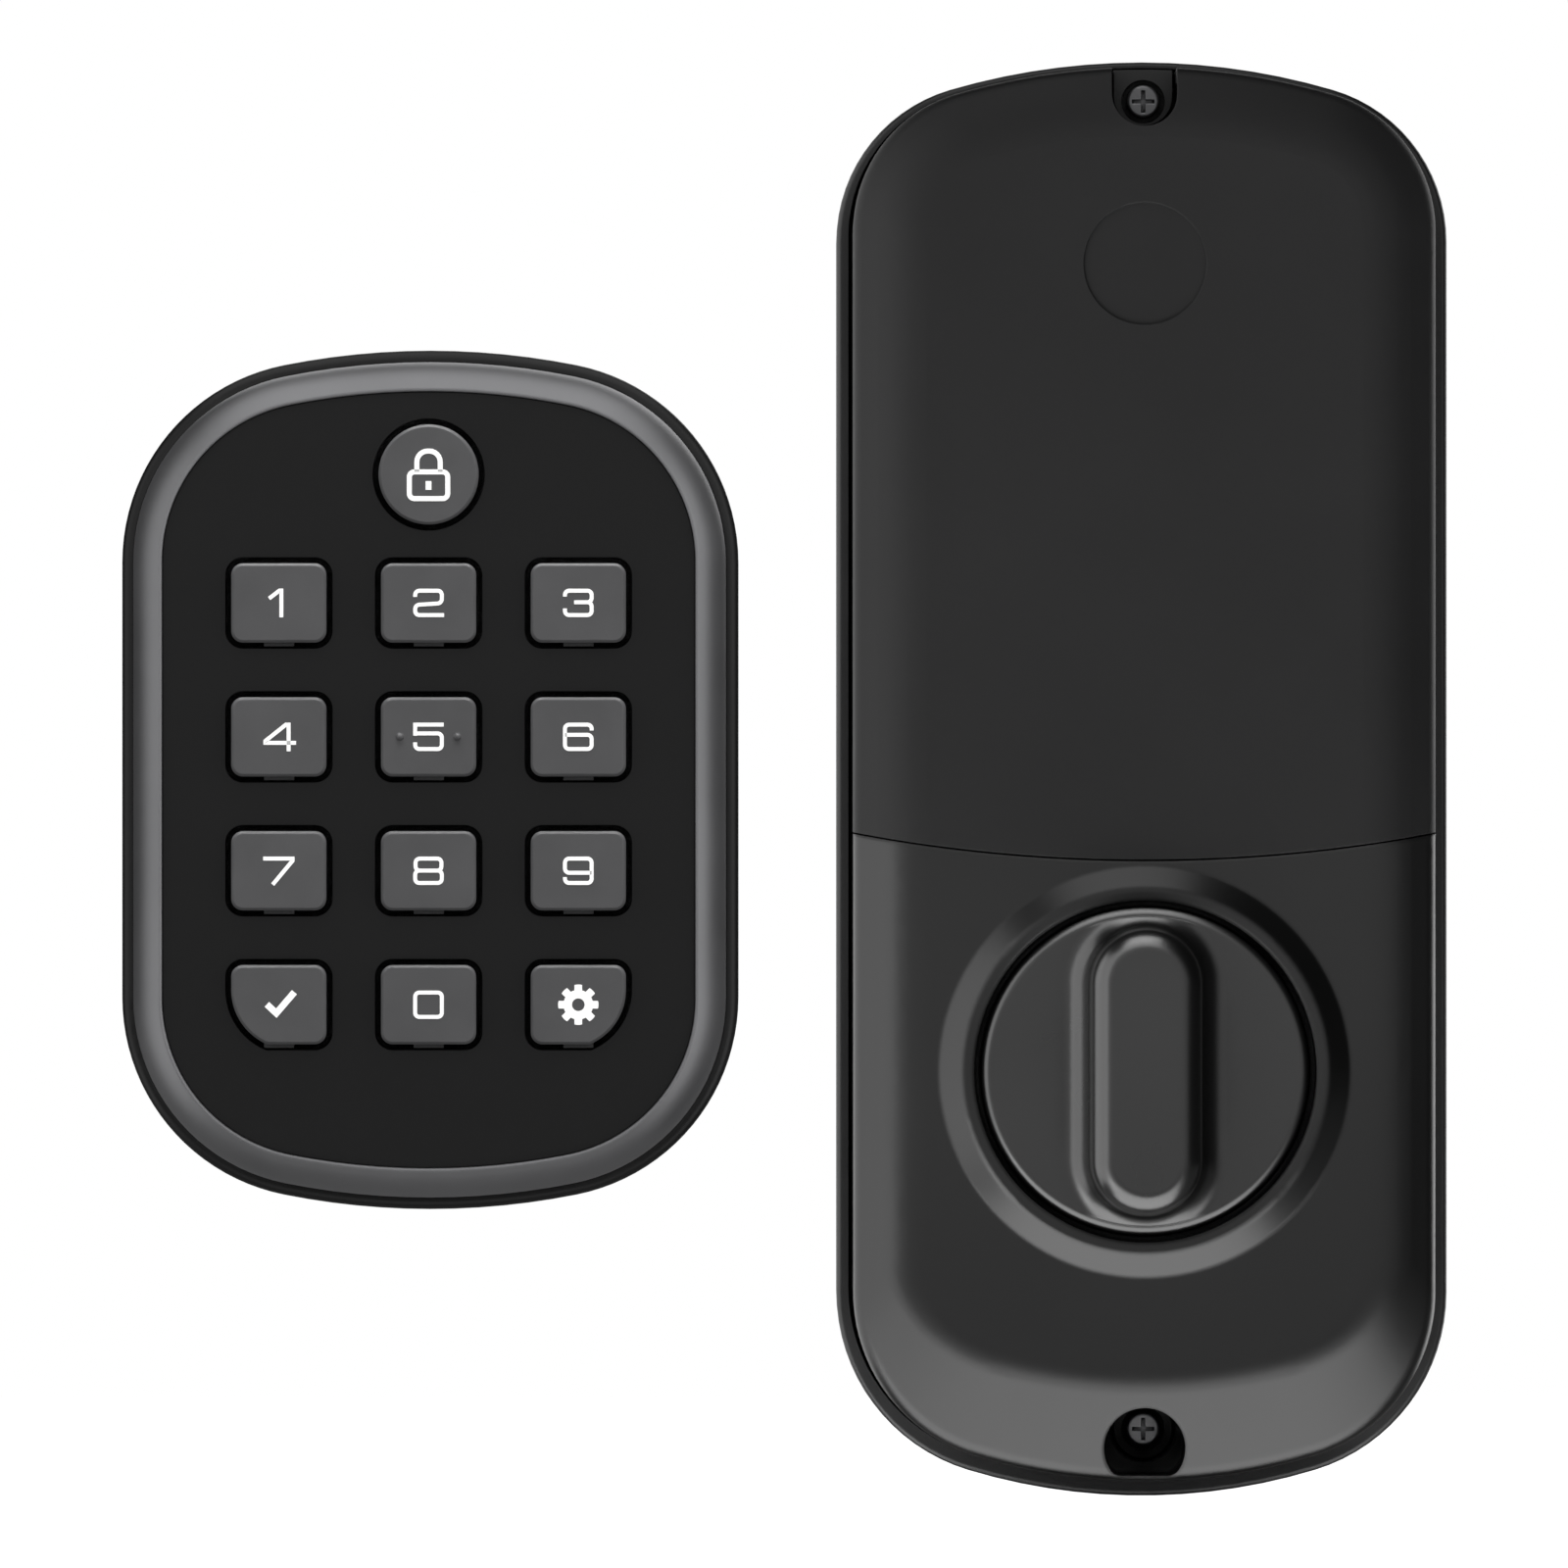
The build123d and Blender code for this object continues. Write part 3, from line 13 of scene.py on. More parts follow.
import bpy
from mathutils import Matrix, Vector


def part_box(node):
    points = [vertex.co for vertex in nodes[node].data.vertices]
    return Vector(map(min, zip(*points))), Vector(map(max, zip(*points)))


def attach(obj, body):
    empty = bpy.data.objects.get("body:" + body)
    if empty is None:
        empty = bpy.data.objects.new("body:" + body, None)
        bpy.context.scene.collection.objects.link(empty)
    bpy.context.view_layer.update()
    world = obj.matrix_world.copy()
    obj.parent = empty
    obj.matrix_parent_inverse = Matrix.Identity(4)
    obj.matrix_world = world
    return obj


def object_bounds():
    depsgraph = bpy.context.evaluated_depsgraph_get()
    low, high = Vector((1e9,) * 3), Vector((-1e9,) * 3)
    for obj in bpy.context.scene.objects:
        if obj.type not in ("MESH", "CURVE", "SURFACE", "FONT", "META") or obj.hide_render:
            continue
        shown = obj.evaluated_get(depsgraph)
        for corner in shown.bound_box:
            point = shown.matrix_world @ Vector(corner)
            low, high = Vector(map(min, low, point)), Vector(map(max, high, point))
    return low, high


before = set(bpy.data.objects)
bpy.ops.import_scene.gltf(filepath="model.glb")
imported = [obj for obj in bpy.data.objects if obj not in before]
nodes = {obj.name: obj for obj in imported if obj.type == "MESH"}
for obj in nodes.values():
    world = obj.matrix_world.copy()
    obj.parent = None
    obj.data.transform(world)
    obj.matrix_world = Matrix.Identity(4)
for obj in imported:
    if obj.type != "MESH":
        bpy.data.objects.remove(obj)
cad_box = [list(corner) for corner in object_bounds()]

# %% [markdown]
# Everything is measured in metres, but a lock is a thing of millimetres, so one name turns
# millimetres into metres. A new primitive is always added on its own: whatever was selected
# before is let go first, because an operator acts on everything that is selected.

# %% Millimetres, and a clean start for each piece
MM = 0.001
SUNK = 0.02 * MM


def let_go():
    """Nothing is selected, and nothing is in edit mode."""
    if bpy.context.object and bpy.context.object.mode != "OBJECT":
        bpy.ops.object.mode_set(mode="OBJECT")
    bpy.ops.object.select_all(action="DESELECT")


def centre_of(node):
    low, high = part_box(node)
    return (low + high) / 2


print("the thumb-turn's centre is", [round(v, 4) for v in centre_of("thumb_turn")])

# %% [markdown]
# ## The camera
# The lock is seen straight on, from about two metres away through a long lens. So far off,
# the sides hardly show, and the rim on the left of the taller unit looks just a little wider
# than the rim on its right. The camera looks along +Y, and its lens is worked out from the
# width of door that fills the view.

# %% Camera
CAMERA_AWAY = 2.2
VIEW_WIDTH = 0.1896
VIEW_CENTRE = (-0.0430, 0.0342)

bpy.ops.object.camera_add(
    location=(VIEW_CENTRE[0], -CAMERA_AWAY, VIEW_CENTRE[1]),
    rotation=(math.radians(90), 0, 0),
)
camera = bpy.context.object
camera.name = "camera"
camera.data.sensor_width = 36
camera.data.lens = camera.data.sensor_width * CAMERA_AWAY / VIEW_WIDTH
camera.data.clip_end = 20
bpy.context.scene.camera = camera
print("the lens is", round(camera.data.lens), "mm")

# %% [markdown]
# ## The light
# Black things are drawn by what they reflect. A facet that turns to the left by some angle
# shows the camera what stands at twice that angle on the left. The interior unit has a great
# pale wall of light on its left and nothing on its right, so its left slopes are grey, its
# right slopes are black, and its round forms can be read. A thin box far behind on the right
# draws the line down its right edge. The keypad stands in a softer light of its own. Light
# linking keeps each set of lights on its own unit, as if each had its own table, and the other
# unit neither catches that light nor casts its shade. A few lights reach even less: one only the
# keys, one only the thumb-turn, and the thin box on the right only the covers and the chassis.

# %% Two units, two sets of lights
LOOK_AT = Vector((VIEW_CENTRE[0], 0, VIEW_CENTRE[1]))
keypad_side = bpy.data.collections.new("lit_as_keypad")
inside_side = bpy.data.collections.new("lit_as_interior")
key_side = bpy.data.collections.new("lit_as_keys")
cover_side = bpy.data.collections.new("lit_as_covers")
turn_side = bpy.data.collections.new("lit_as_turn")
for name, node in nodes.items():
    side = keypad_side if centre_of(name).x < VIEW_CENTRE[0] else inside_side
    side.objects.link(node)
    if name.startswith("key_") or name == "wake_button":
        key_side.objects.link(node)
for name in ("battery_cover", "lower_cover", "interior_chassis"):
    cover_side.objects.link(nodes[name])
turn_side.objects.link(nodes["thumb_turn"])

# %% Soft boxes
def soft_box(name, turn, lift, away, width, height, brightness, only=None):
    """A rectangle of light, turned so many degrees to the right of the camera and lifted."""
    around, up = math.radians(turn), math.radians(lift)
    direction = Vector(
        (math.sin(around) * math.cos(up), -math.cos(around) * math.cos(up), math.sin(up))
    )
    bpy.ops.object.light_add(type="AREA", location=LOOK_AT + direction * away)
    light = bpy.context.object
    light.name = name
    light.rotation_euler = direction.to_track_quat("Z", "Y").to_euler()
    light.data.shape = "RECTANGLE"
    light.data.size = width
    light.data.size_y = height
    light.data.energy = brightness * math.pi * width * height
    if only:
        light.light_linking.receiver_collection = only
        light.light_linking.blocker_collection = only
    return light


soft_box("left_wall", -62, 4, 1.4, 1.75, 2.0, 1.9, only=inside_side)
soft_box("left_back", -122, 4, 1.4, 1.6, 2.0, 1.6, only=inside_side)
soft_box("over_inside", -10, 66, 1.6, 1.1, 1.0, 1.5, only=inside_side)
soft_box("right_rim", 122, 6, 1.5, 1.1, 1.6, 2.6, only=cover_side)
soft_box("low_panel", -4, -56, 0.7, 1.1, 0.85, 3.6, only=inside_side)
soft_box("over_turn", -6, 62, 1.2, 1.0, 1.4, 2.6, only=turn_side)
soft_box("keypad_left", -74, 0, 1.6, 1.5, 2.6, 0.60, only=keypad_side)
soft_box("keypad_right", 62, 0, 1.6, 1.2, 2.6, 0.80, only=keypad_side)
soft_box("keypad_top", 0, 80, 1.6, 2.6, 2.2, 0.80, only=keypad_side)
soft_box("keypad_low", 0, -56, 0.6, 0.7, 0.26, 0.40, only=keypad_side)
soft_box("key_lamp", 0, 80, 1.2, 1.2, 0.8, 6.5, only=key_side)
soft_box("behind", 172, 22, 2.0, 1.6, 1.2, 1.2)

# %% [markdown]
# The room itself is white to the eye, but if it lit the lock as white it would wash all the
# black out. So the world shows white to the camera only, which Light Path tells apart. To every
# other ray it is a glow round the camera that fades to almost nothing at the sides. That glow
# gives the flat fronts their grey, and the domed bezel its fall from light to dark.

# %% The room
GLOW = 0.62
SIDES = 0.015

world = bpy.data.worlds.new("pale_room")
bpy.context.scene.world = world
world.use_nodes = True
room = world.node_tree
room.nodes.clear()
direction = room.nodes.new("ShaderNodeTexCoord")
towards_camera = room.nodes.new("ShaderNodeVectorMath")
towards_camera.operation = "DOT_PRODUCT"
towards_camera.inputs[1].default_value = (0, -1, 0)
fade = room.nodes.new("ShaderNodeMapRange")
fade.interpolation_type = "SMOOTHSTEP"
fade.inputs["From Min"].default_value = math.cos(math.radians(58))
fade.inputs["From Max"].default_value = math.cos(math.radians(22))
fade.inputs["To Min"].default_value = SIDES
fade.inputs["To Max"].default_value = GLOW
seen = room.nodes.new("ShaderNodeBackground")
seen.inputs["Color"].default_value = (1, 1, 1, 1)
glow = room.nodes.new("ShaderNodeBackground")
glow.inputs["Color"].default_value = (1, 1, 1, 1)
which = room.nodes.new("ShaderNodeLightPath")
choose = room.nodes.new("ShaderNodeMixShader")
out = room.nodes.new("ShaderNodeOutputWorld")
room.links.new(direction.outputs["Generated"], towards_camera.inputs[0])
room.links.new(towards_camera.outputs["Value"], fade.inputs["Value"])
room.links.new(fade.outputs["Result"], glow.inputs["Strength"])
room.links.new(which.outputs["Is Camera Ray"], choose.inputs["Fac"])
room.links.new(glow.outputs[0], choose.inputs[1])
room.links.new(seen.outputs[0], choose.inputs[2])
room.links.new(choose.outputs[0], out.inputs["Surface"])
bpy.context.scene.view_settings.view_transform = "Standard"
print("glow", GLOW, "sides", SIDES)

# %% [markdown]
# ## Building materials
# Each finish is a small network of nodes. Two helpers keep them short: one starts a material and
# returns its shader, and one adds a node with its values set by name.

# %% Node helpers
def start_material(name):
    """A new material, its node tree and its shader."""
    material = bpy.data.materials.new(name)
    material.use_nodes = True
    tree = material.node_tree
    shader = tree.nodes["Principled BSDF"]
    return material, tree, shader


def add_node(tree, kind, values=None, **settings):
    """Adds a node, sets its properties, then its sockets, by name or by number."""
    node = tree.nodes.new("ShaderNode" + kind)
    for key, value in settings.items():
        setattr(node, key, value)
    for key, value in (values or {}).items():
        node.inputs[key].default_value = value
    return node


def start_group(name, inputs, outputs):
    """A shader node group with named inputs, as (name, starting value), and named outputs."""
    tree = bpy.data.node_groups.new(name, "ShaderNodeTree")
    for socket, value in inputs:
        kind = "NodeSocketColor" if isinstance(value, tuple) else "NodeSocketFloat"
        made = tree.interface.new_socket(socket, in_out="INPUT", socket_type=kind)
        made.default_value = value
    for socket, kind in outputs:
        tree.interface.new_socket(socket, in_out="OUTPUT", socket_type="NodeSocket" + kind)
    return tree, tree.nodes.new("NodeGroupInput"), tree.nodes.new("NodeGroupOutput")


def place_group(tree, group, **values):
    """Puts a group into a material with its own values."""
    node = tree.nodes.new("ShaderNodeGroup")
    node.node_tree = group
    for key, value in values.items():
        node.inputs[key.replace("_", " ")].default_value = value
    return node


print("helpers ready")

# %% [markdown]
# ### Grain
# Moulded plastic and sprayed paint are never perfectly smooth. The mould or the paint leaves a
# fine grain, and over the whole part the gloss drifts a little. One group makes both: a fine
# height for a Bump node, and a slow, cloudy value for roughness and colour. It reads Object
# coordinates, which are metres here, so a scale of 3000 means grains a third of a millimetre
# across.

# %% Grain group
grain, given, result = start_group(
    "surface_grain",
    [("Grain Scale", 3000.0), ("Cloud Scale", 40.0)],
    [("Height", "Float"), ("Cloud", "Float")],
)
where = add_node(grain, "TexCoord")
fine = add_node(grain, "TexNoise", {"Detail": 3.0, "Roughness": 0.6})
slow = add_node(grain, "TexNoise", {"Detail": 4.0, "Roughness": 0.55})
grain.links.new(where.outputs["Object"], fine.inputs["Vector"])
grain.links.new(where.outputs["Object"], slow.inputs["Vector"])
grain.links.new(given.outputs["Grain Scale"], fine.inputs["Scale"])
grain.links.new(given.outputs["Cloud Scale"], slow.inputs["Scale"])
grain.links.new(fine.outputs["Fac"], result.inputs["Height"])
grain.links.new(slow.outputs["Fac"], result.inputs["Cloud"])
print("group", grain.name, "with", len(grain.nodes), "nodes")

# %% [markdown]
# ### Worn edges
# Fingers, keys and sleeves polish the edges of a lock first. The Bevel node gives the direction
# that the surface would have if its edges were rounded. Where that differs from the real
# direction there is an edge, so the difference makes a mask. A patchy noise breaks the mask up,
# because wear is never even.

# %% Edge wear group
wear, given, result = start_group(
    "edge_wear", [("Width", 0.0004), ("Amount", 1.0)], [("Mask", "Float")]
)
rounded = add_node(wear, "Bevel", samples=4)
facing = add_node(wear, "NewGeometry")
alike = add_node(wear, "VectorMath", operation="DOT_PRODUCT")
edge = add_node(wear, "MapRange", {"From Min": 0.995, "From Max": 0.85, "To Min": 0.0, "To Max": 1.0})
patches = add_node(wear, "TexNoise", {"Scale": 260.0, "Detail": 5.0, "Roughness": 0.65})
patch_range = add_node(wear, "MapRange", {"From Min": 0.38, "From Max": 0.62})
where = add_node(wear, "TexCoord")
patchy = add_node(wear, "Math", operation="MULTIPLY")
scaled = add_node(wear, "Math", operation="MULTIPLY", use_clamp=True)
wear.links.new(given.outputs["Width"], rounded.inputs["Radius"])
wear.links.new(rounded.outputs["Normal"], alike.inputs[0])
wear.links.new(facing.outputs["Normal"], alike.inputs[1])
wear.links.new(alike.outputs["Value"], edge.inputs["Value"])
wear.links.new(where.outputs["Object"], patches.inputs["Vector"])
wear.links.new(patches.outputs["Fac"], patch_range.inputs["Value"])
wear.links.new(edge.outputs["Result"], patchy.inputs[0])
wear.links.new(patch_range.outputs["Result"], patchy.inputs[1])
wear.links.new(patchy.outputs["Value"], scaled.inputs[0])
wear.links.new(given.outputs["Amount"], scaled.inputs[1])
wear.links.new(scaled.outputs["Value"], result.inputs["Mask"])
print("group", wear.name, "with", len(wear.nodes), "nodes")

# %% [markdown]
# ### Painted shade in deep recesses
# The slots round the keys, the screw pockets and the groove between the covers and their base
# look quite black, because no light finds its way out of them. Here that shade is painted.
# Ambient occlusion measures how much of the sky a spot can see. Where that is very little, the
# mask is one, and the finish uses it to paint both its colour and its reflection black.

# %% Painted recess shade group
# The mask of painted shade: one in recesses that see little sky.
recess, given, result = start_group("painted_recess_shade", [("Reach", 0.01)], [("Mask", "Float")])
sky = add_node(recess, "AmbientOcclusion", samples=4)
shut_in = add_node(recess, "MapRange", {"From Min": 0.52, "From Max": 0.24})
recess.links.new(given.outputs["Reach"], sky.inputs["Distance"])
recess.links.new(sky.outputs["AO"], shut_in.inputs["Value"])
recess.links.new(shut_in.outputs["Result"], result.inputs["Mask"])
print("group", recess.name, "with", len(recess.nodes), "nodes")

# %% [markdown]
# ### One recipe for paint and plastic
# Most of the lock is black, yet no two blacks are alike: the keys are greyer, the face plate is
# nearly dead black, and the paint shines more than the plastic. They are all made by the same
# recipe. Its base colour drifts between two close shades with the cloud, its worn edges take a
# third, its roughness drifts too, deep recesses are painted black as shade, and the grain goes
# into a Bump node.
# The gloss numbers that are the same all over are set on the shader itself. A Bevel node under
# the bump gives every sharp CAD edge a small round that catches the light.

# %% The recipe
def coated(
    name,
    shade,
    shade_2,
    worn,
    rough,
    rough_2,
    metal=0.0,
    shine=0.5,
    coat=0.0,
    grain_scale=3000.0,
    grain_height=0.00001,
    cloud_scale=40.0,
    edge_width=0.0004,
    edge_amount=0.5,
    edge_round=0.00015,
    recess_reach=0.010,
):
    """A painted, plated or moulded finish with grain, drift, worn edges and painted recess shade."""
    material, tree, shader = start_material(name)
    texture = place_group(tree, grain, Grain_Scale=grain_scale, Cloud_Scale=cloud_scale)
    edges = place_group(tree, wear, Width=edge_width, Amount=edge_amount)

    drift = add_node(tree, "MapRange", {"From Min": 0.3, "From Max": 0.7})
    shades = add_node(tree, "Mix", data_type="RGBA")
    shades.inputs["A"].default_value = (*shade, 1)
    shades.inputs["B"].default_value = (*shade_2, 1)
    rubbed = add_node(tree, "Mix", data_type="RGBA")
    rubbed.inputs["B"].default_value = (*worn, 1)
    tree.links.new(texture.outputs["Cloud"], drift.inputs["Value"])
    tree.links.new(drift.outputs["Result"], shades.inputs["Factor"])
    tree.links.new(shades.outputs["Result"], rubbed.inputs["A"])
    tree.links.new(edges.outputs["Mask"], rubbed.inputs["Factor"])
    # Painted shade: where the recess mask is one, the colour goes black and the metallic value goes to
    # one, so nothing is reflected.
    shade_mask = place_group(tree, recess, Reach=recess_reach)
    painted_shade = add_node(tree, "Mix", data_type="RGBA")
    painted_shade.inputs["B"].default_value = (0, 0, 0, 1)
    shade_metal = add_node(tree, "MapRange", {"To Min": metal, "To Max": 1.0})
    tree.links.new(shade_mask.outputs["Mask"], painted_shade.inputs["Factor"])
    tree.links.new(rubbed.outputs["Result"], painted_shade.inputs["A"])
    tree.links.new(painted_shade.outputs["Result"], shader.inputs["Base Color"])
    tree.links.new(shade_mask.outputs["Mask"], shade_metal.inputs["Value"])
    tree.links.new(shade_metal.outputs["Result"], shader.inputs["Metallic"])

    span = {"From Min": 0.3, "From Max": 0.7, "To Min": rough, "To Max": rough_2}
    gloss = add_node(tree, "MapRange", span)
    tree.links.new(texture.outputs["Cloud"], gloss.inputs["Value"])
    tree.links.new(gloss.outputs["Result"], shader.inputs["Roughness"])

    softened = add_node(tree, "Bevel", {"Radius": edge_round}, samples=4)
    bump = add_node(tree, "Bump", {"Strength": 1.0, "Distance": grain_height})
    tree.links.new(softened.outputs["Normal"], bump.inputs["Normal"])
    tree.links.new(texture.outputs["Height"], bump.inputs["Height"])
    tree.links.new(bump.outputs["Normal"], shader.inputs["Normal"])

    shader.inputs["Specular IOR Level"].default_value = shine
    shader.inputs["Coat Weight"].default_value = coat
    shader.inputs["Coat Roughness"].default_value = 0.25
    return material


def dress(material, *names):
    """Gives CAD nodes or new pieces one material."""
    for name in names:
        piece = nodes.get(name) or bpy.data.objects[name]
        piece.data.materials.clear()
        piece.data.materials.append(material)


def grey(value):
    return (value, value, value * 1.03)


print("recipe ready")

# %% [markdown]
# ## The keypad's finishes
# The bezel is the showpiece of the keypad. Its domed band is sprayed with a dark metallic paint,
# so it is brighter than the rest where it faces a light. The shell behind it has a plainer satin
# coat. The face plate is moulded with a very fine spark texture that swallows light.

# %% Bezel, rear shell and face plate
bezel_paint = coated(
    "bezel_paint", grey(0.32), grey(0.38), grey(0.42), 0.43, 0.48, metal=0.92, shine=0.5,
    grain_scale=5200, grain_height=0.000004, edge_amount=0.35, edge_round=0.0002,
)
shell_coat = coated(
    "shell_coat", grey(0.006), grey(0.009), grey(0.04), 0.34, 0.42, shine=0.5,
    grain_scale=3600, grain_height=0.000006, edge_round=0.00012,
)
face_plastic = coated(
    "face_plastic", grey(0.0085), grey(0.0115), grey(0.03), 0.50, 0.58, shine=0.35,
    grain_scale=6500, grain_height=0.000010, cloud_scale=70, edge_amount=0.3,
)
dress(bezel_paint, "keypad_bezel")
dress(shell_coat, "keypad_rear_shell", "interior_chassis")
dress(face_plastic, "keypad_face_plate")
print("keypad case dressed")

# %% [markdown]
# The keys are moulded in a dark grey plastic. Years of pressing make their middles a little
# smoother than their rims, which the slow cloud suggests. The wake button above them is the same
# plastic.

# %% Keys
key_names = [name for name in nodes if name.startswith("key_")]
key_plastic = coated(
    "key_plastic", grey(0.092), grey(0.110), grey(0.20), 0.40, 0.48, shine=0.5,
    grain_scale=5200, grain_height=0.000006, cloud_scale=120, edge_amount=0.5, edge_round=0.00018,
)
dress(key_plastic, "wake_button", *key_names)
print(len(key_names), "keys dressed")

# %% [markdown]
# ## The interior unit's finishes
# The battery cover is matte moulded plastic. The lower cover, the collar and the thumb-turn are
# metal under a smooth satin paint, which is why the seam between the two covers shows so
# clearly although both are black.

# %% Covers and thumb-turn
cover_plastic = coated(
    "cover_plastic", grey(0.0040), grey(0.0055), grey(0.03), 0.50, 0.56, shine=0.29,
    grain_scale=5600, grain_height=0.000009, cloud_scale=30, edge_amount=0.25, edge_round=0.0002,
)
cover_paint = coated(
    "cover_paint", grey(0.0008), grey(0.0013), grey(0.02), 0.28, 0.32, shine=0.58, coat=0.0,
    grain_scale=2600, grain_height=0.000003, cloud_scale=25, edge_amount=0.5, edge_round=0.0007,
)
turn_paint = coated(
    "turn_paint", grey(0.0008), grey(0.0013), grey(0.02), 0.27, 0.31, shine=0.90, coat=0.0,
    grain_scale=2600, grain_height=0.000003, cloud_scale=35, edge_amount=0.6, edge_round=0.00025,
)
dress(cover_plastic, "battery_cover")
dress(cover_paint, "lower_cover")
dress(turn_paint, "thumb_turn")
print("covers dressed")

# %% [markdown]
# ## Metal parts
# Plated steel is not one grey. Zinc plating has soft cloudy patches, and turned parts have fine
# rings. The same recipe does for them with the metallic value at one: the two shades become the
# two greys of the plating, and the worn edge shows brighter metal. The screws that fasten the
# covers are blackened, with bare steel showing only where a driver has bitten.

# %% Steel, nickel and brass
zinc = coated(
    "zinc_plate", grey(0.42), grey(0.58), grey(0.75), 0.28, 0.45, metal=1.0,
    grain_scale=1800, grain_height=0.000004, cloud_scale=180, edge_amount=0.6,
)
nickel = coated(
    "nickel_plate", (0.62, 0.60, 0.55), (0.70, 0.67, 0.61), (0.8, 0.78, 0.74), 0.18, 0.30, metal=1.0,
    grain_scale=2600, grain_height=0.000002, cloud_scale=220, edge_amount=0.3,
)
brass = coated(
    "turned_brass", (0.68, 0.47, 0.17), (0.76, 0.55, 0.23), (0.85, 0.68, 0.35), 0.22, 0.36, metal=1.0,
    grain_scale=2600, grain_height=0.000003, cloud_scale=240, edge_amount=0.4,
)
black_steel = coated(
    "blackened_steel", grey(0.14), grey(0.22), grey(0.5), 0.32, 0.46, metal=0.9,
    grain_scale=4200, grain_height=0.000004, cloud_scale=420, edge_width=0.0003, edge_amount=0.8,
    recess_reach=0.0012,
)
dress(
    zinc, "mounting_plate", "gear_plate", "gear_bridge", "gear_pins", "gear_plate_screws",
    "thumb_turn_spindle", "spindle_clip", "tailpiece", "motor", "motor_shaft",
    "through_bolt_posts", "keypad_case_screws",
)
dress(nickel, "battery_contacts", "battery_springs", "jump_start_terminals")
dress(brass, "motor_pinion", "buzzer")
dress(black_steel, "cover_screws")
print("metal dressed")

# %% [markdown]
# ## Plastic and rubber inside
# Gears and the spindle's bush are natural acetal, a creamy white plastic that needs no oil. The
# tray, the radio module and the chips are black. The keymat is grey silicone, the gasket is soft
# black foam rubber, and the boards are green.

# %% Inner plastics, rubber and boards
acetal = coated(
    "natural_acetal", (0.74, 0.72, 0.65), (0.80, 0.78, 0.71), (0.86, 0.84, 0.78), 0.34, 0.46,
    grain_scale=2200, grain_height=0.000004, cloud_scale=150, edge_amount=0.2,
)
inner_black = coated(
    "inner_black", grey(0.012), grey(0.018), grey(0.05), 0.48, 0.60,
    grain_scale=3600, grain_height=0.000010, cloud_scale=60, edge_amount=0.3,
)
silicone = coated(
    "grey_silicone", grey(0.30), grey(0.36), grey(0.42), 0.52, 0.62, shine=0.4,
    grain_scale=2600, grain_height=0.000006, cloud_scale=90, edge_amount=0.2,
)
foam = coated(
    "foam_rubber", grey(0.010), grey(0.020), grey(0.03), 0.78, 0.9, shine=0.2,
    grain_scale=2300, grain_height=0.00007, cloud_scale=200, edge_amount=0.1,
)
board_green = coated(
    "board_mask", (0.008, 0.075, 0.030), (0.012, 0.105, 0.045), (0.30, 0.26, 0.12), 0.24, 0.34, shine=0.6,
    grain_scale=900, grain_height=0.000006, cloud_scale=320, edge_width=0.0003, edge_amount=0.7,
)
nylon = coated(
    "socket_nylon", (0.62, 0.59, 0.50), (0.68, 0.65, 0.56), (0.75, 0.72, 0.64), 0.42, 0.52,
    grain_scale=3000, grain_height=0.000005, cloud_scale=160, edge_amount=0.2,
)
dress(acetal, "main_gear", "slow_idler_gear", "fast_idler_gear", "spindle_bush")
dress(inner_black, "battery_tray", "radio_module", "main_board_chips")
dress(silicone, "rubber_keymat")
dress(foam, "rear_gasket")
dress(board_green, "keypad_circuit_board", "main_circuit_board")
dress(nylon, "keypad_cable_socket", "radio_socket")
print("inside dressed")

# %% [markdown]
# ## The cells
# An AA cell is a nickel-plated can in a printed plastic sleeve, open at both ends. The sleeve
# starts a little over a millimetre from each end, and a pale band marks the end with the nub.
# Neighbouring cells lie head to tail, so there is one material for each way up. The height along
# the cell picks the finish: plated can, band or sleeve.

# %% Cell material
SLEEVE_FROM_END = 1.1 * MM
BAND_HEIGHT = 9.0 * MM


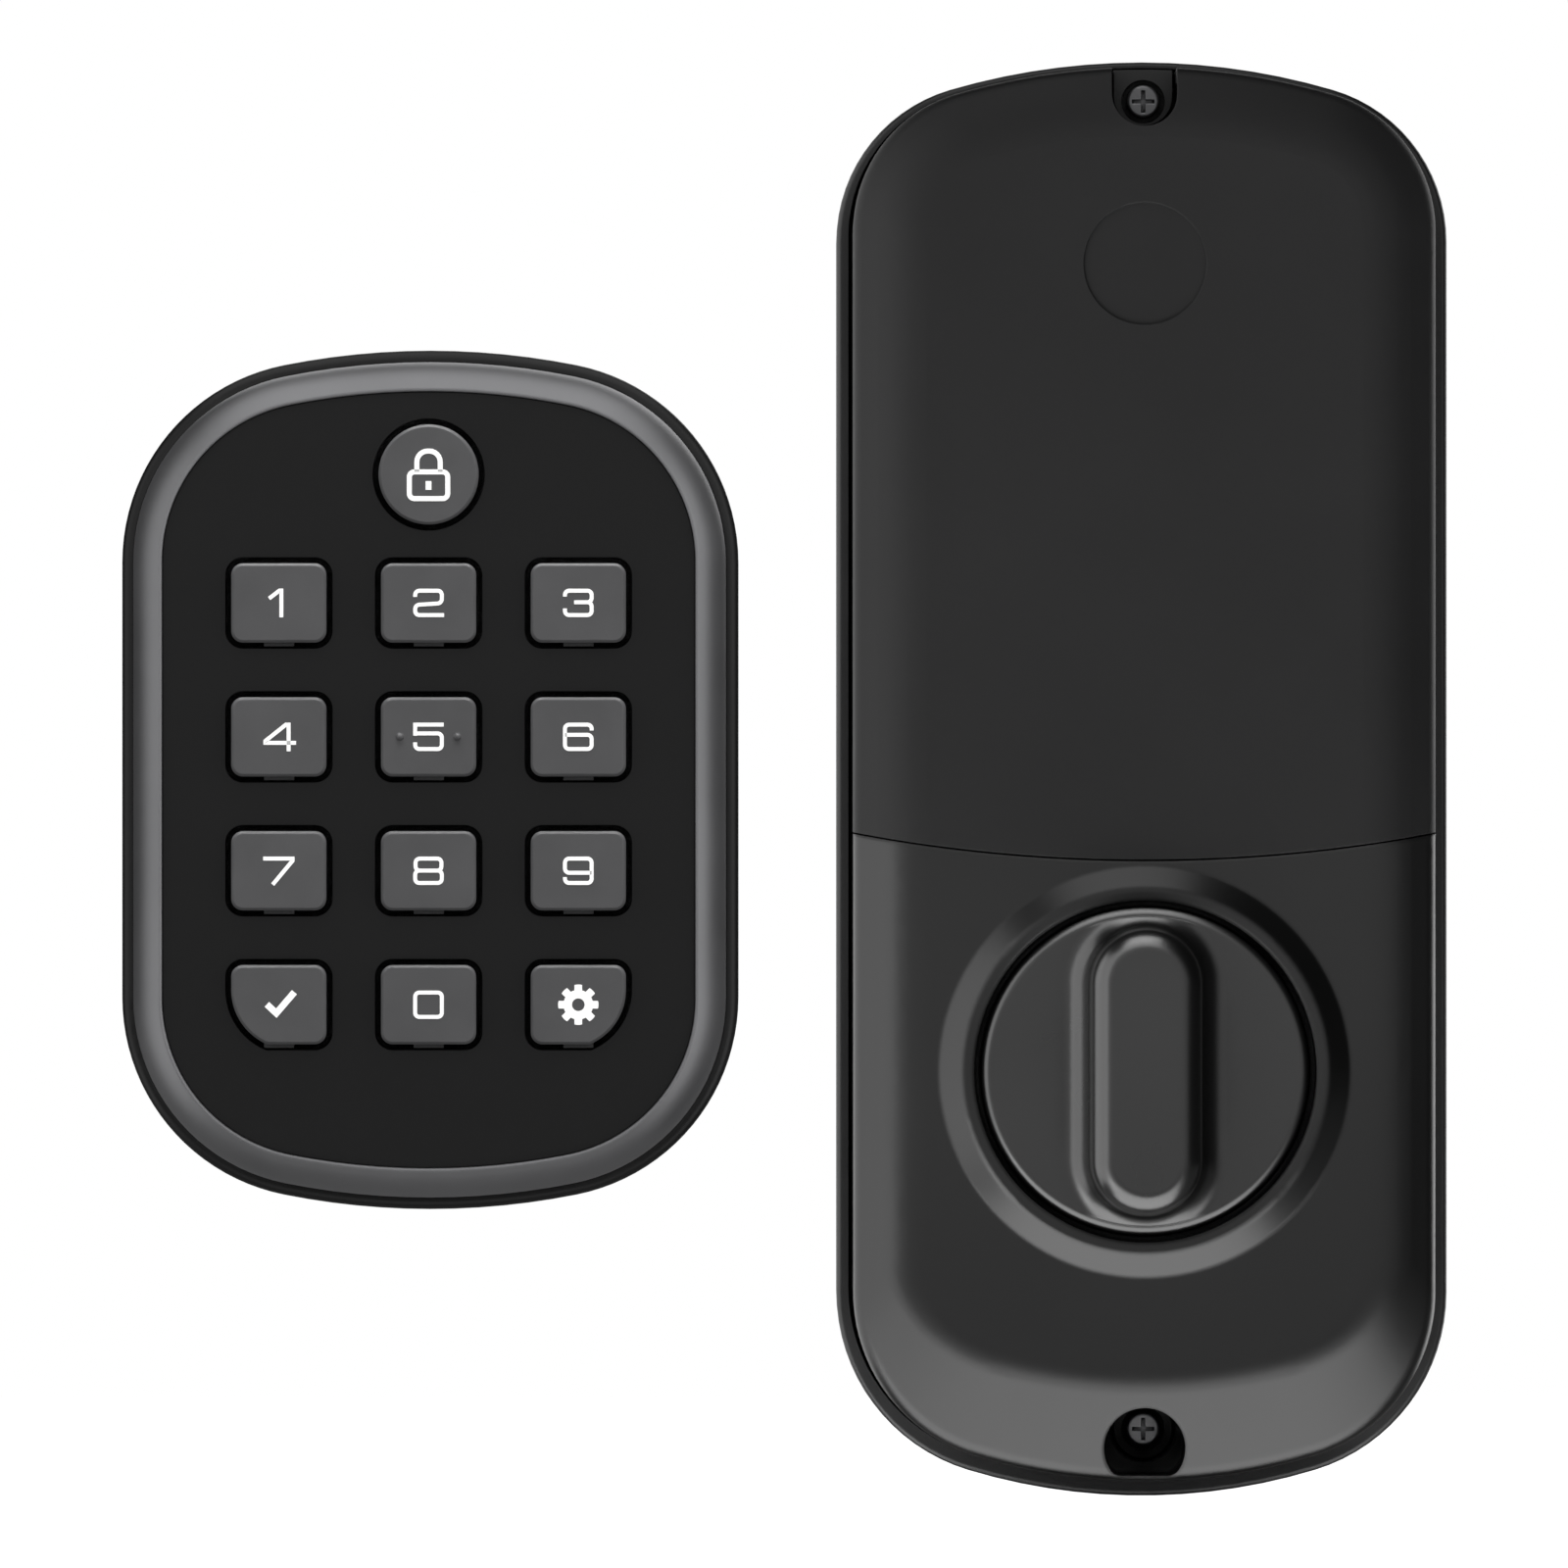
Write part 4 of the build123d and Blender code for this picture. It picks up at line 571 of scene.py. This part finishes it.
def cell_finish(name, low, high, nub_up):
    """A sleeve between two heights, with its band at the nub's end."""
    material, tree, shader = start_material(name)
    where = add_node(tree, "TexCoord")
    split = add_node(tree, "SeparateXYZ")
    tree.links.new(where.outputs["Object"], split.inputs["Vector"])

    def between(bottom, top):
        over = add_node(tree, "Math", {1: bottom}, operation="GREATER_THAN")
        under = add_node(tree, "Math", {1: top}, operation="LESS_THAN")
        both = add_node(tree, "Math", operation="MULTIPLY")
        tree.links.new(split.outputs["Z"], over.inputs[0])
        tree.links.new(split.outputs["Z"], under.inputs[0])
        tree.links.new(over.outputs[0], both.inputs[0])
        tree.links.new(under.outputs[0], both.inputs[1])
        return both.outputs[0]

    sleeve = between(low + SLEEVE_FROM_END, high - SLEEVE_FROM_END)
    band_low = high - BAND_HEIGHT if nub_up else low + SLEEVE_FROM_END
    band_high = high - SLEEVE_FROM_END if nub_up else low + BAND_HEIGHT
    band = between(band_low, band_high)
    texture = place_group(tree, grain, Grain_Scale=1500.0, Cloud_Scale=90.0)
    printed = add_node(tree, "Mix", data_type="RGBA")
    printed.inputs["A"].default_value = (0.020, 0.055, 0.14, 1)
    printed.inputs["B"].default_value = (0.52, 0.54, 0.56, 1)
    whole = add_node(tree, "Mix", data_type="RGBA")
    whole.inputs["A"].default_value = (0.66, 0.64, 0.60, 1)
    bare = add_node(tree, "Math", {0: 1.0}, operation="SUBTRACT")
    gloss = add_node(tree, "MapRange", {"To Min": 0.18, "To Max": 0.34})
    bump = add_node(tree, "Bump", {"Strength": 1.0, "Distance": 0.000004})
    tree.links.new(band, printed.inputs["Factor"])
    tree.links.new(printed.outputs["Result"], whole.inputs["B"])
    tree.links.new(sleeve, whole.inputs["Factor"])
    tree.links.new(whole.outputs["Result"], shader.inputs["Base Color"])
    tree.links.new(sleeve, bare.inputs[1])
    tree.links.new(bare.outputs[0], shader.inputs["Metallic"])
    tree.links.new(texture.outputs["Cloud"], gloss.inputs["Value"])
    tree.links.new(gloss.outputs["Result"], shader.inputs["Roughness"])
    tree.links.new(texture.outputs["Height"], bump.inputs["Height"])
    tree.links.new(bump.outputs["Normal"], shader.inputs["Normal"])
    return material


NUB = 1.2 * MM
for number in (1, 2, 3, 4):
    cell = f"battery_cell_{number}"
    low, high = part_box(cell)
    nub_up = number % 2 == 1
    can_low = low.z if nub_up else low.z + NUB
    can_high = high.z - NUB if nub_up else high.z
    dress(cell_finish(f"cell_sleeve_{number}", can_low, can_high, nub_up), cell)
print("four cells dressed")

# %% [markdown]
# ## The numerals
# The legends are thin white paint, standing just proud of each key. The numerals are wide and
# squarish with rounded corners and one even stroke width. Drawing each as a stroke keeps that
# width exact: one point is pushed along the middle of the stroke, its corners are rounded, the
# line is raised into a low fence, and Solidify gives the fence the width of the stroke. A
# corner that has to stay sharp is written with a third number.

# %% Draw a stroke
STROKE = 0.47 * MM
PAINT = 0.06 * MM
CORNER = 0.5 * MM
SHARP = 1


def draw_stroke(points, place, width=STROKE, corner=CORNER, closed=False, paint=PAINT):
    """A flat stroke through points, in millimetres about a place on a front face."""
    let_go()
    spots = [Vector((place.x + p[0] * MM, place.y + SUNK, place.z + p[1] * MM)) for p in points]
    bpy.ops.mesh.primitive_plane_add(size=0.001, location=spots[0])
    stroke = bpy.context.object
    bpy.ops.object.mode_set(mode="EDIT")
    bpy.ops.mesh.merge(type="CENTER")
    for here, there in zip(spots, spots[1:]):
        bpy.ops.mesh.extrude_region_move(TRANSFORM_OT_translate={"value": there - here})
    bpy.ops.mesh.select_all(action="SELECT")
    if closed:
        bpy.ops.mesh.remove_doubles(threshold=0.00001)
    bpy.ops.object.mode_set(mode="OBJECT")
    inner = range(0 if closed else 1, len(points) - 1)
    turns = [spots[i] for i in inner if len(points[i]) == 2]
    origin = stroke.location.copy()
    for vertex in stroke.data.vertices:
        vertex.select = any((vertex.co + origin - spot).length < 0.00001 for spot in turns)
    bpy.ops.object.mode_set(mode="EDIT")
    bpy.ops.mesh.select_mode(type="VERT")
    if corner and turns:
        bpy.ops.mesh.bevel(offset=corner, segments=6, affect="VERTICES", clamp_overlap=True)
    bpy.ops.mesh.select_all(action="SELECT")
    bpy.ops.mesh.extrude_region_move(TRANSFORM_OT_translate={"value": (0, -paint - SUNK, 0)})
    bpy.ops.mesh.select_all(action="SELECT")
    bpy.ops.mesh.normals_make_consistent(inside=False)
    bpy.ops.object.mode_set(mode="OBJECT")
    widen = stroke.modifiers.new("stroke_width", "SOLIDIFY")
    widen.thickness = width
    widen.offset = 0
    widen.use_even_offset = True
    bpy.ops.object.modifier_apply(modifier=widen.name)
    bpy.ops.object.transform_apply(location=True, rotation=True, scale=True)
    bpy.ops.object.mode_set(mode="EDIT")
    bpy.ops.mesh.select_all(action="SELECT")
    bpy.ops.mesh.normals_make_consistent(inside=False)
    bpy.ops.object.mode_set(mode="OBJECT")
    return stroke


def join_as(name, pieces, body):
    """Several strokes become one piece that rides on a body."""
    let_go()
    for piece in pieces:
        piece.select_set(True)
    bpy.context.view_layer.objects.active = pieces[0]
    if len(pieces) > 1:
        bpy.ops.object.join()
    piece = bpy.context.object
    piece.name = name
    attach(piece, body)
    keypad_side.objects.link(piece)
    key_side.objects.link(piece)
    return piece


print("a stroke is", STROKE / MM, "mm wide")

# %% [markdown]
# Each numeral is one or two strokes on a small grid, in millimetres from the middle of its key.
# The zero, the two loops of the eight and the like are closed; the rest have square ends. The
# front face of a key is found from its CAD box.

# %% Numerals
LEFT, RIGHT, TOP, LOW = -1.6, 1.6, 1.46, -1.46

NUMERALS = {
    "0": [([(LEFT, LOW), (LEFT, TOP), (RIGHT, TOP), (RIGHT, LOW), (LEFT, LOW)], True)],
    "1": [([(-1.15, 0.52), (0.10, 1.48, SHARP), (0.32, 1.48, SHARP), (0.32, -1.73)], False)],
    "2": [
        (
            [
                (LEFT, 0.72),
                (LEFT, TOP),
                (RIGHT, TOP),
                (RIGHT, -0.04),
                (LEFT, -0.24),
                (LEFT, LOW, SHARP),
                (1.87, LOW),
            ],
            False,
        )
    ],
    "3": [
        ([(LEFT, 0.76), (LEFT, TOP), (RIGHT, TOP), (RIGHT, 0.08), (-0.5, 0.08)], False),
        ([(-0.5, 0.08), (RIGHT, 0.08), (RIGHT, LOW), (LEFT, LOW), (LEFT, -0.66)], False),
    ],
    "4": [
        (
            [
                (1.19, -1.73),
                (1.19, 1.46, SHARP),
                (0.86, 1.46, SHARP),
                (-1.60, -0.50, SHARP),
                (-1.60, -0.72, SHARP),
                (2.08, -0.72),
            ],
            False,
        )
    ],
    "5": [
        ([(1.82, TOP), (LEFT, TOP, SHARP), (LEFT, 0.14)], False),
        ([(LEFT, 0.41), (RIGHT, 0.41), (RIGHT, LOW), (LEFT, LOW), (LEFT, -0.66)], False),
    ],
    "6": [
        (
            [
                (RIGHT, 0.76),
                (RIGHT, TOP),
                (LEFT, TOP),
                (LEFT, LOW),
                (RIGHT, LOW),
                (RIGHT, 0.24),
                (LEFT, 0.24),
            ],
            False,
        )
    ],
    "7": [([(-1.86, TOP), (1.66, TOP, SHARP), (1.66, 1.20, SHARP), (-0.72, -1.66)], False)],
    "8": [
        ([(-1.55, 0.02), (-1.55, TOP), (1.55, TOP), (1.55, 0.02), (-1.55, 0.02)], True),
        ([(LEFT, LOW), (LEFT, 0.02), (RIGHT, 0.02), (RIGHT, LOW), (LEFT, LOW)], True),
    ],
    "9": [
        (
            [
                (LEFT, -0.76),
                (LEFT, LOW),
                (RIGHT, LOW),
                (RIGHT, TOP),
                (LEFT, TOP),
                (LEFT, -0.24),
                (RIGHT, -0.24),
            ],
            False,
        )
    ],
}


def key_front(name):
    """The middle of a key's front, from its box. The pips of the five stand proud of it."""
    low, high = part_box(name)
    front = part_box("key_0")[0].y
    return Vector(((low.x + high.x) / 2, front, (low.z + high.z) / 2))


for numeral, strokes in NUMERALS.items():
    key = "key_" + numeral
    drawn = []
    for count, (points, closed) in enumerate(strokes):
        paint = PAINT * (1 - 0.2 * count)
        drawn.append(draw_stroke(points, key_front(key), closed=closed, paint=paint))
    join_as("numeral_" + numeral, drawn, key + "_cap")
print(len(NUMERALS), "numerals drawn")

# %% [markdown]
# The last row also has a tick, which is a bolder stroke, and a gear. The gear starts as a disc.
# Insetting it leaves a rim round a hole, the middle is deleted, and every other pair of outer
# edges is pulled straight out to make a tooth.

# %% Tick and gear
TICK = [(-1.42, 0.04), (-0.28, -1.02, SHARP), (1.88, 1.50)]
tick = draw_stroke(TICK, key_front("key_check"), width=0.78 * MM)
join_as("tick_mark", [tick], "key_check_cap")

GEAR_ROOT, GEAR_TIP, GEAR_HOLE = 1.78, 2.42, 0.76
TOOTH_TAPER = 0.2
TEETH = 8


def draw_gear(place):
    """A flat gear with eight teeth, facing -Y."""
    let_go()
    bpy.ops.mesh.primitive_circle_add(
        vertices=6 * TEETH,
        radius=GEAR_ROOT * MM,
        fill_type="NGON",
        location=place + Vector((0, SUNK, 0)),
        rotation=(math.radians(90), 0, 0),
    )
    gear = bpy.context.object
    bpy.ops.object.transform_apply(location=True, rotation=True, scale=True)
    bpy.ops.object.mode_set(mode="EDIT")
    bpy.ops.mesh.select_all(action="SELECT")
    bpy.ops.mesh.inset(thickness=(GEAR_ROOT - GEAR_HOLE) * MM)
    bpy.ops.mesh.delete(type="FACE")
    for tooth in range(TEETH):
        angle = 2 * math.pi * tooth / TEETH
        outward = Vector((math.cos(angle), 0, math.sin(angle)))
        bpy.ops.mesh.select_mode(type="VERT")
        bpy.ops.mesh.select_all(action="DESELECT")
        bpy.ops.object.mode_set(mode="OBJECT")
        for vertex in gear.data.vertices:
            arm = vertex.co - place
            arm.y = 0
            on_rim = abs(arm.length - GEAR_ROOT * MM) < 0.00002
            vertex.select = on_rim and arm.normalized().dot(outward) > math.cos(math.radians(16))
        bpy.ops.object.mode_set(mode="EDIT")
        step = outward * (GEAR_TIP - GEAR_ROOT) * MM
        bpy.ops.mesh.extrude_region_move(TRANSFORM_OT_translate={"value": step})
        across = Vector((-outward.z, 0, outward.x))
        for side in (-1, 1):
            bpy.ops.object.mode_set(mode="OBJECT")
            for vertex in gear.data.vertices:
                arm = vertex.co - place - outward * GEAR_TIP * 0.95 * MM
                arm.y = 0
                corner = abs(arm.dot(across) - side * GEAR_ROOT * MM * math.sin(math.radians(15)))
                vertex.select = corner < 0.00002 and abs(arm.dot(outward)) < 0.0003
            bpy.ops.object.mode_set(mode="EDIT")
            bpy.ops.transform.translate(value=-across * side * TOOTH_TAPER * MM)
    bpy.ops.mesh.select_all(action="SELECT")
    bpy.ops.mesh.extrude_region_move(TRANSFORM_OT_translate={"value": (0, -PAINT - SUNK, 0)})
    bpy.ops.mesh.select_all(action="SELECT")
    bpy.ops.mesh.normals_make_consistent(inside=False)
    bpy.ops.object.mode_set(mode="OBJECT")
    return gear


join_as("gear_mark", [draw_gear(key_front("key_gear"))], "key_gear_cap")
print("tick and gear drawn")

# %% [markdown]
# ## The mark on the wake button
# A plain padlock says what the button is for. It is drawn with the same stroke tool: a closed
# box for the body, an arch for the shackle and a short upright for the keyhole.

# %% Padlock
low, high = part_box("wake_button")
button_front = Vector(((low.x + high.x) / 2, low.y, (low.z + high.z) / 2 - 0.3 * MM))
lock_body = [(-2.3, -2.6), (-2.3, 0.6), (2.3, 0.6), (2.3, -2.6), (-2.3, -2.6)]
shackle = [(-1.4, 0.6), (-1.4, 3.1), (1.4, 3.1), (1.4, 0.6)]
keyhole = [(0, -0.5), (0, -1.55)]
padlock = [
    draw_stroke(lock_body, button_front, width=0.6 * MM, corner=0.6 * MM, closed=True),
    draw_stroke(shackle, button_front, width=0.6 * MM, corner=1.3 * MM),
    draw_stroke(keyhole, button_front, width=0.7 * MM, corner=0),
]
join_as("padlock_mark", padlock, "wake")
print("padlock drawn")

# %% [markdown]
# The paint of the legends is a warm white with a slight unevenness. A faint cloud of grey stands
# for the wear on the keys that are pressed most. The paint is also given a faint painted glow,
# which keeps it white in the dim light that suits the black parts.

# %% Legend paint and its painted glow
legend_paint_and_glow = coated(
    "legend_paint_and_glow", (0.82, 0.82, 0.80), (0.90, 0.90, 0.88), (0.6, 0.6, 0.58), 0.45, 0.55,
    grain_scale=3000, grain_height=0.000003, cloud_scale=200, edge_amount=0.15, edge_round=0.00002,
)
marks = ["numeral_" + n for n in NUMERALS] + ["tick_mark", "gear_mark", "padlock_mark"]
shader = legend_paint_and_glow.node_tree.nodes["Principled BSDF"]
# Painted glow: the legends give off a little light of their own, though they are no lamp.
shader.inputs["Emission Color"].default_value = (1, 1, 1, 1)
shader.inputs["Emission Strength"].default_value = 0.5
dress(legend_paint_and_glow, *marks)
print(len(marks), "marks painted")

# %% [markdown]
# ## The floor
# The lock stands over a small pale table top. To the camera it glows as white as the room, and
# it lights the lock from below only a little, as paper in dim light would. It belongs to the stage and
# not to the lock.

# %% Floor
FLOOR_SIZE = 0.8
let_go()
lock_low, lock_high = (Vector(corner) for corner in cad_box)
floor_centre = ((lock_low.x + lock_high.x) / 2, -0.02, lock_low.z - 0.0015)
bpy.ops.mesh.primitive_plane_add(size=FLOOR_SIZE, location=floor_centre)
floor = bpy.context.object
floor.name = "pale_floor"
bpy.ops.object.mode_set(mode="EDIT")
bpy.ops.mesh.select_all(action="SELECT")
bpy.ops.mesh.subdivide(number_cuts=8)
bpy.ops.object.mode_set(mode="OBJECT")
bpy.ops.object.transform_apply(location=True, rotation=True, scale=True)
material, tree, shader = start_material("floor_paper")
texture = place_group(tree, grain, Grain_Scale=400.0, Cloud_Scale=9.0)
tone = add_node(tree, "Mix", data_type="RGBA")
tone.inputs["A"].default_value = (0.80, 0.80, 0.80, 1)
tone.inputs["B"].default_value = (0.84, 0.84, 0.84, 1)
tree.links.new(texture.outputs["Cloud"], tone.inputs["Factor"])
tree.links.new(tone.outputs["Result"], shader.inputs["Base Color"])
shader.inputs["Roughness"].default_value = 0.9
shader.inputs["Emission Color"].default_value = (1, 1, 1, 1)
seen_by = add_node(tree, "LightPath")
tree.links.new(seen_by.outputs["Is Camera Ray"], shader.inputs["Emission Strength"])
floor.data.materials.append(material)
floor_only = bpy.data.collections.new("lit_as_floor")
floor_only.objects.link(floor)
soft_box("floor_lamp", 0, 70, 1.5, 1.0, 1.0, 0.5, only=floor_only)
print("floor at", round(lock_low.z - 0.0015, 4), "m")

# %% [markdown]
# ## The CAD box
# The box round the CAD model is printed.

# %% Finish
print("CAD box", cad_box)
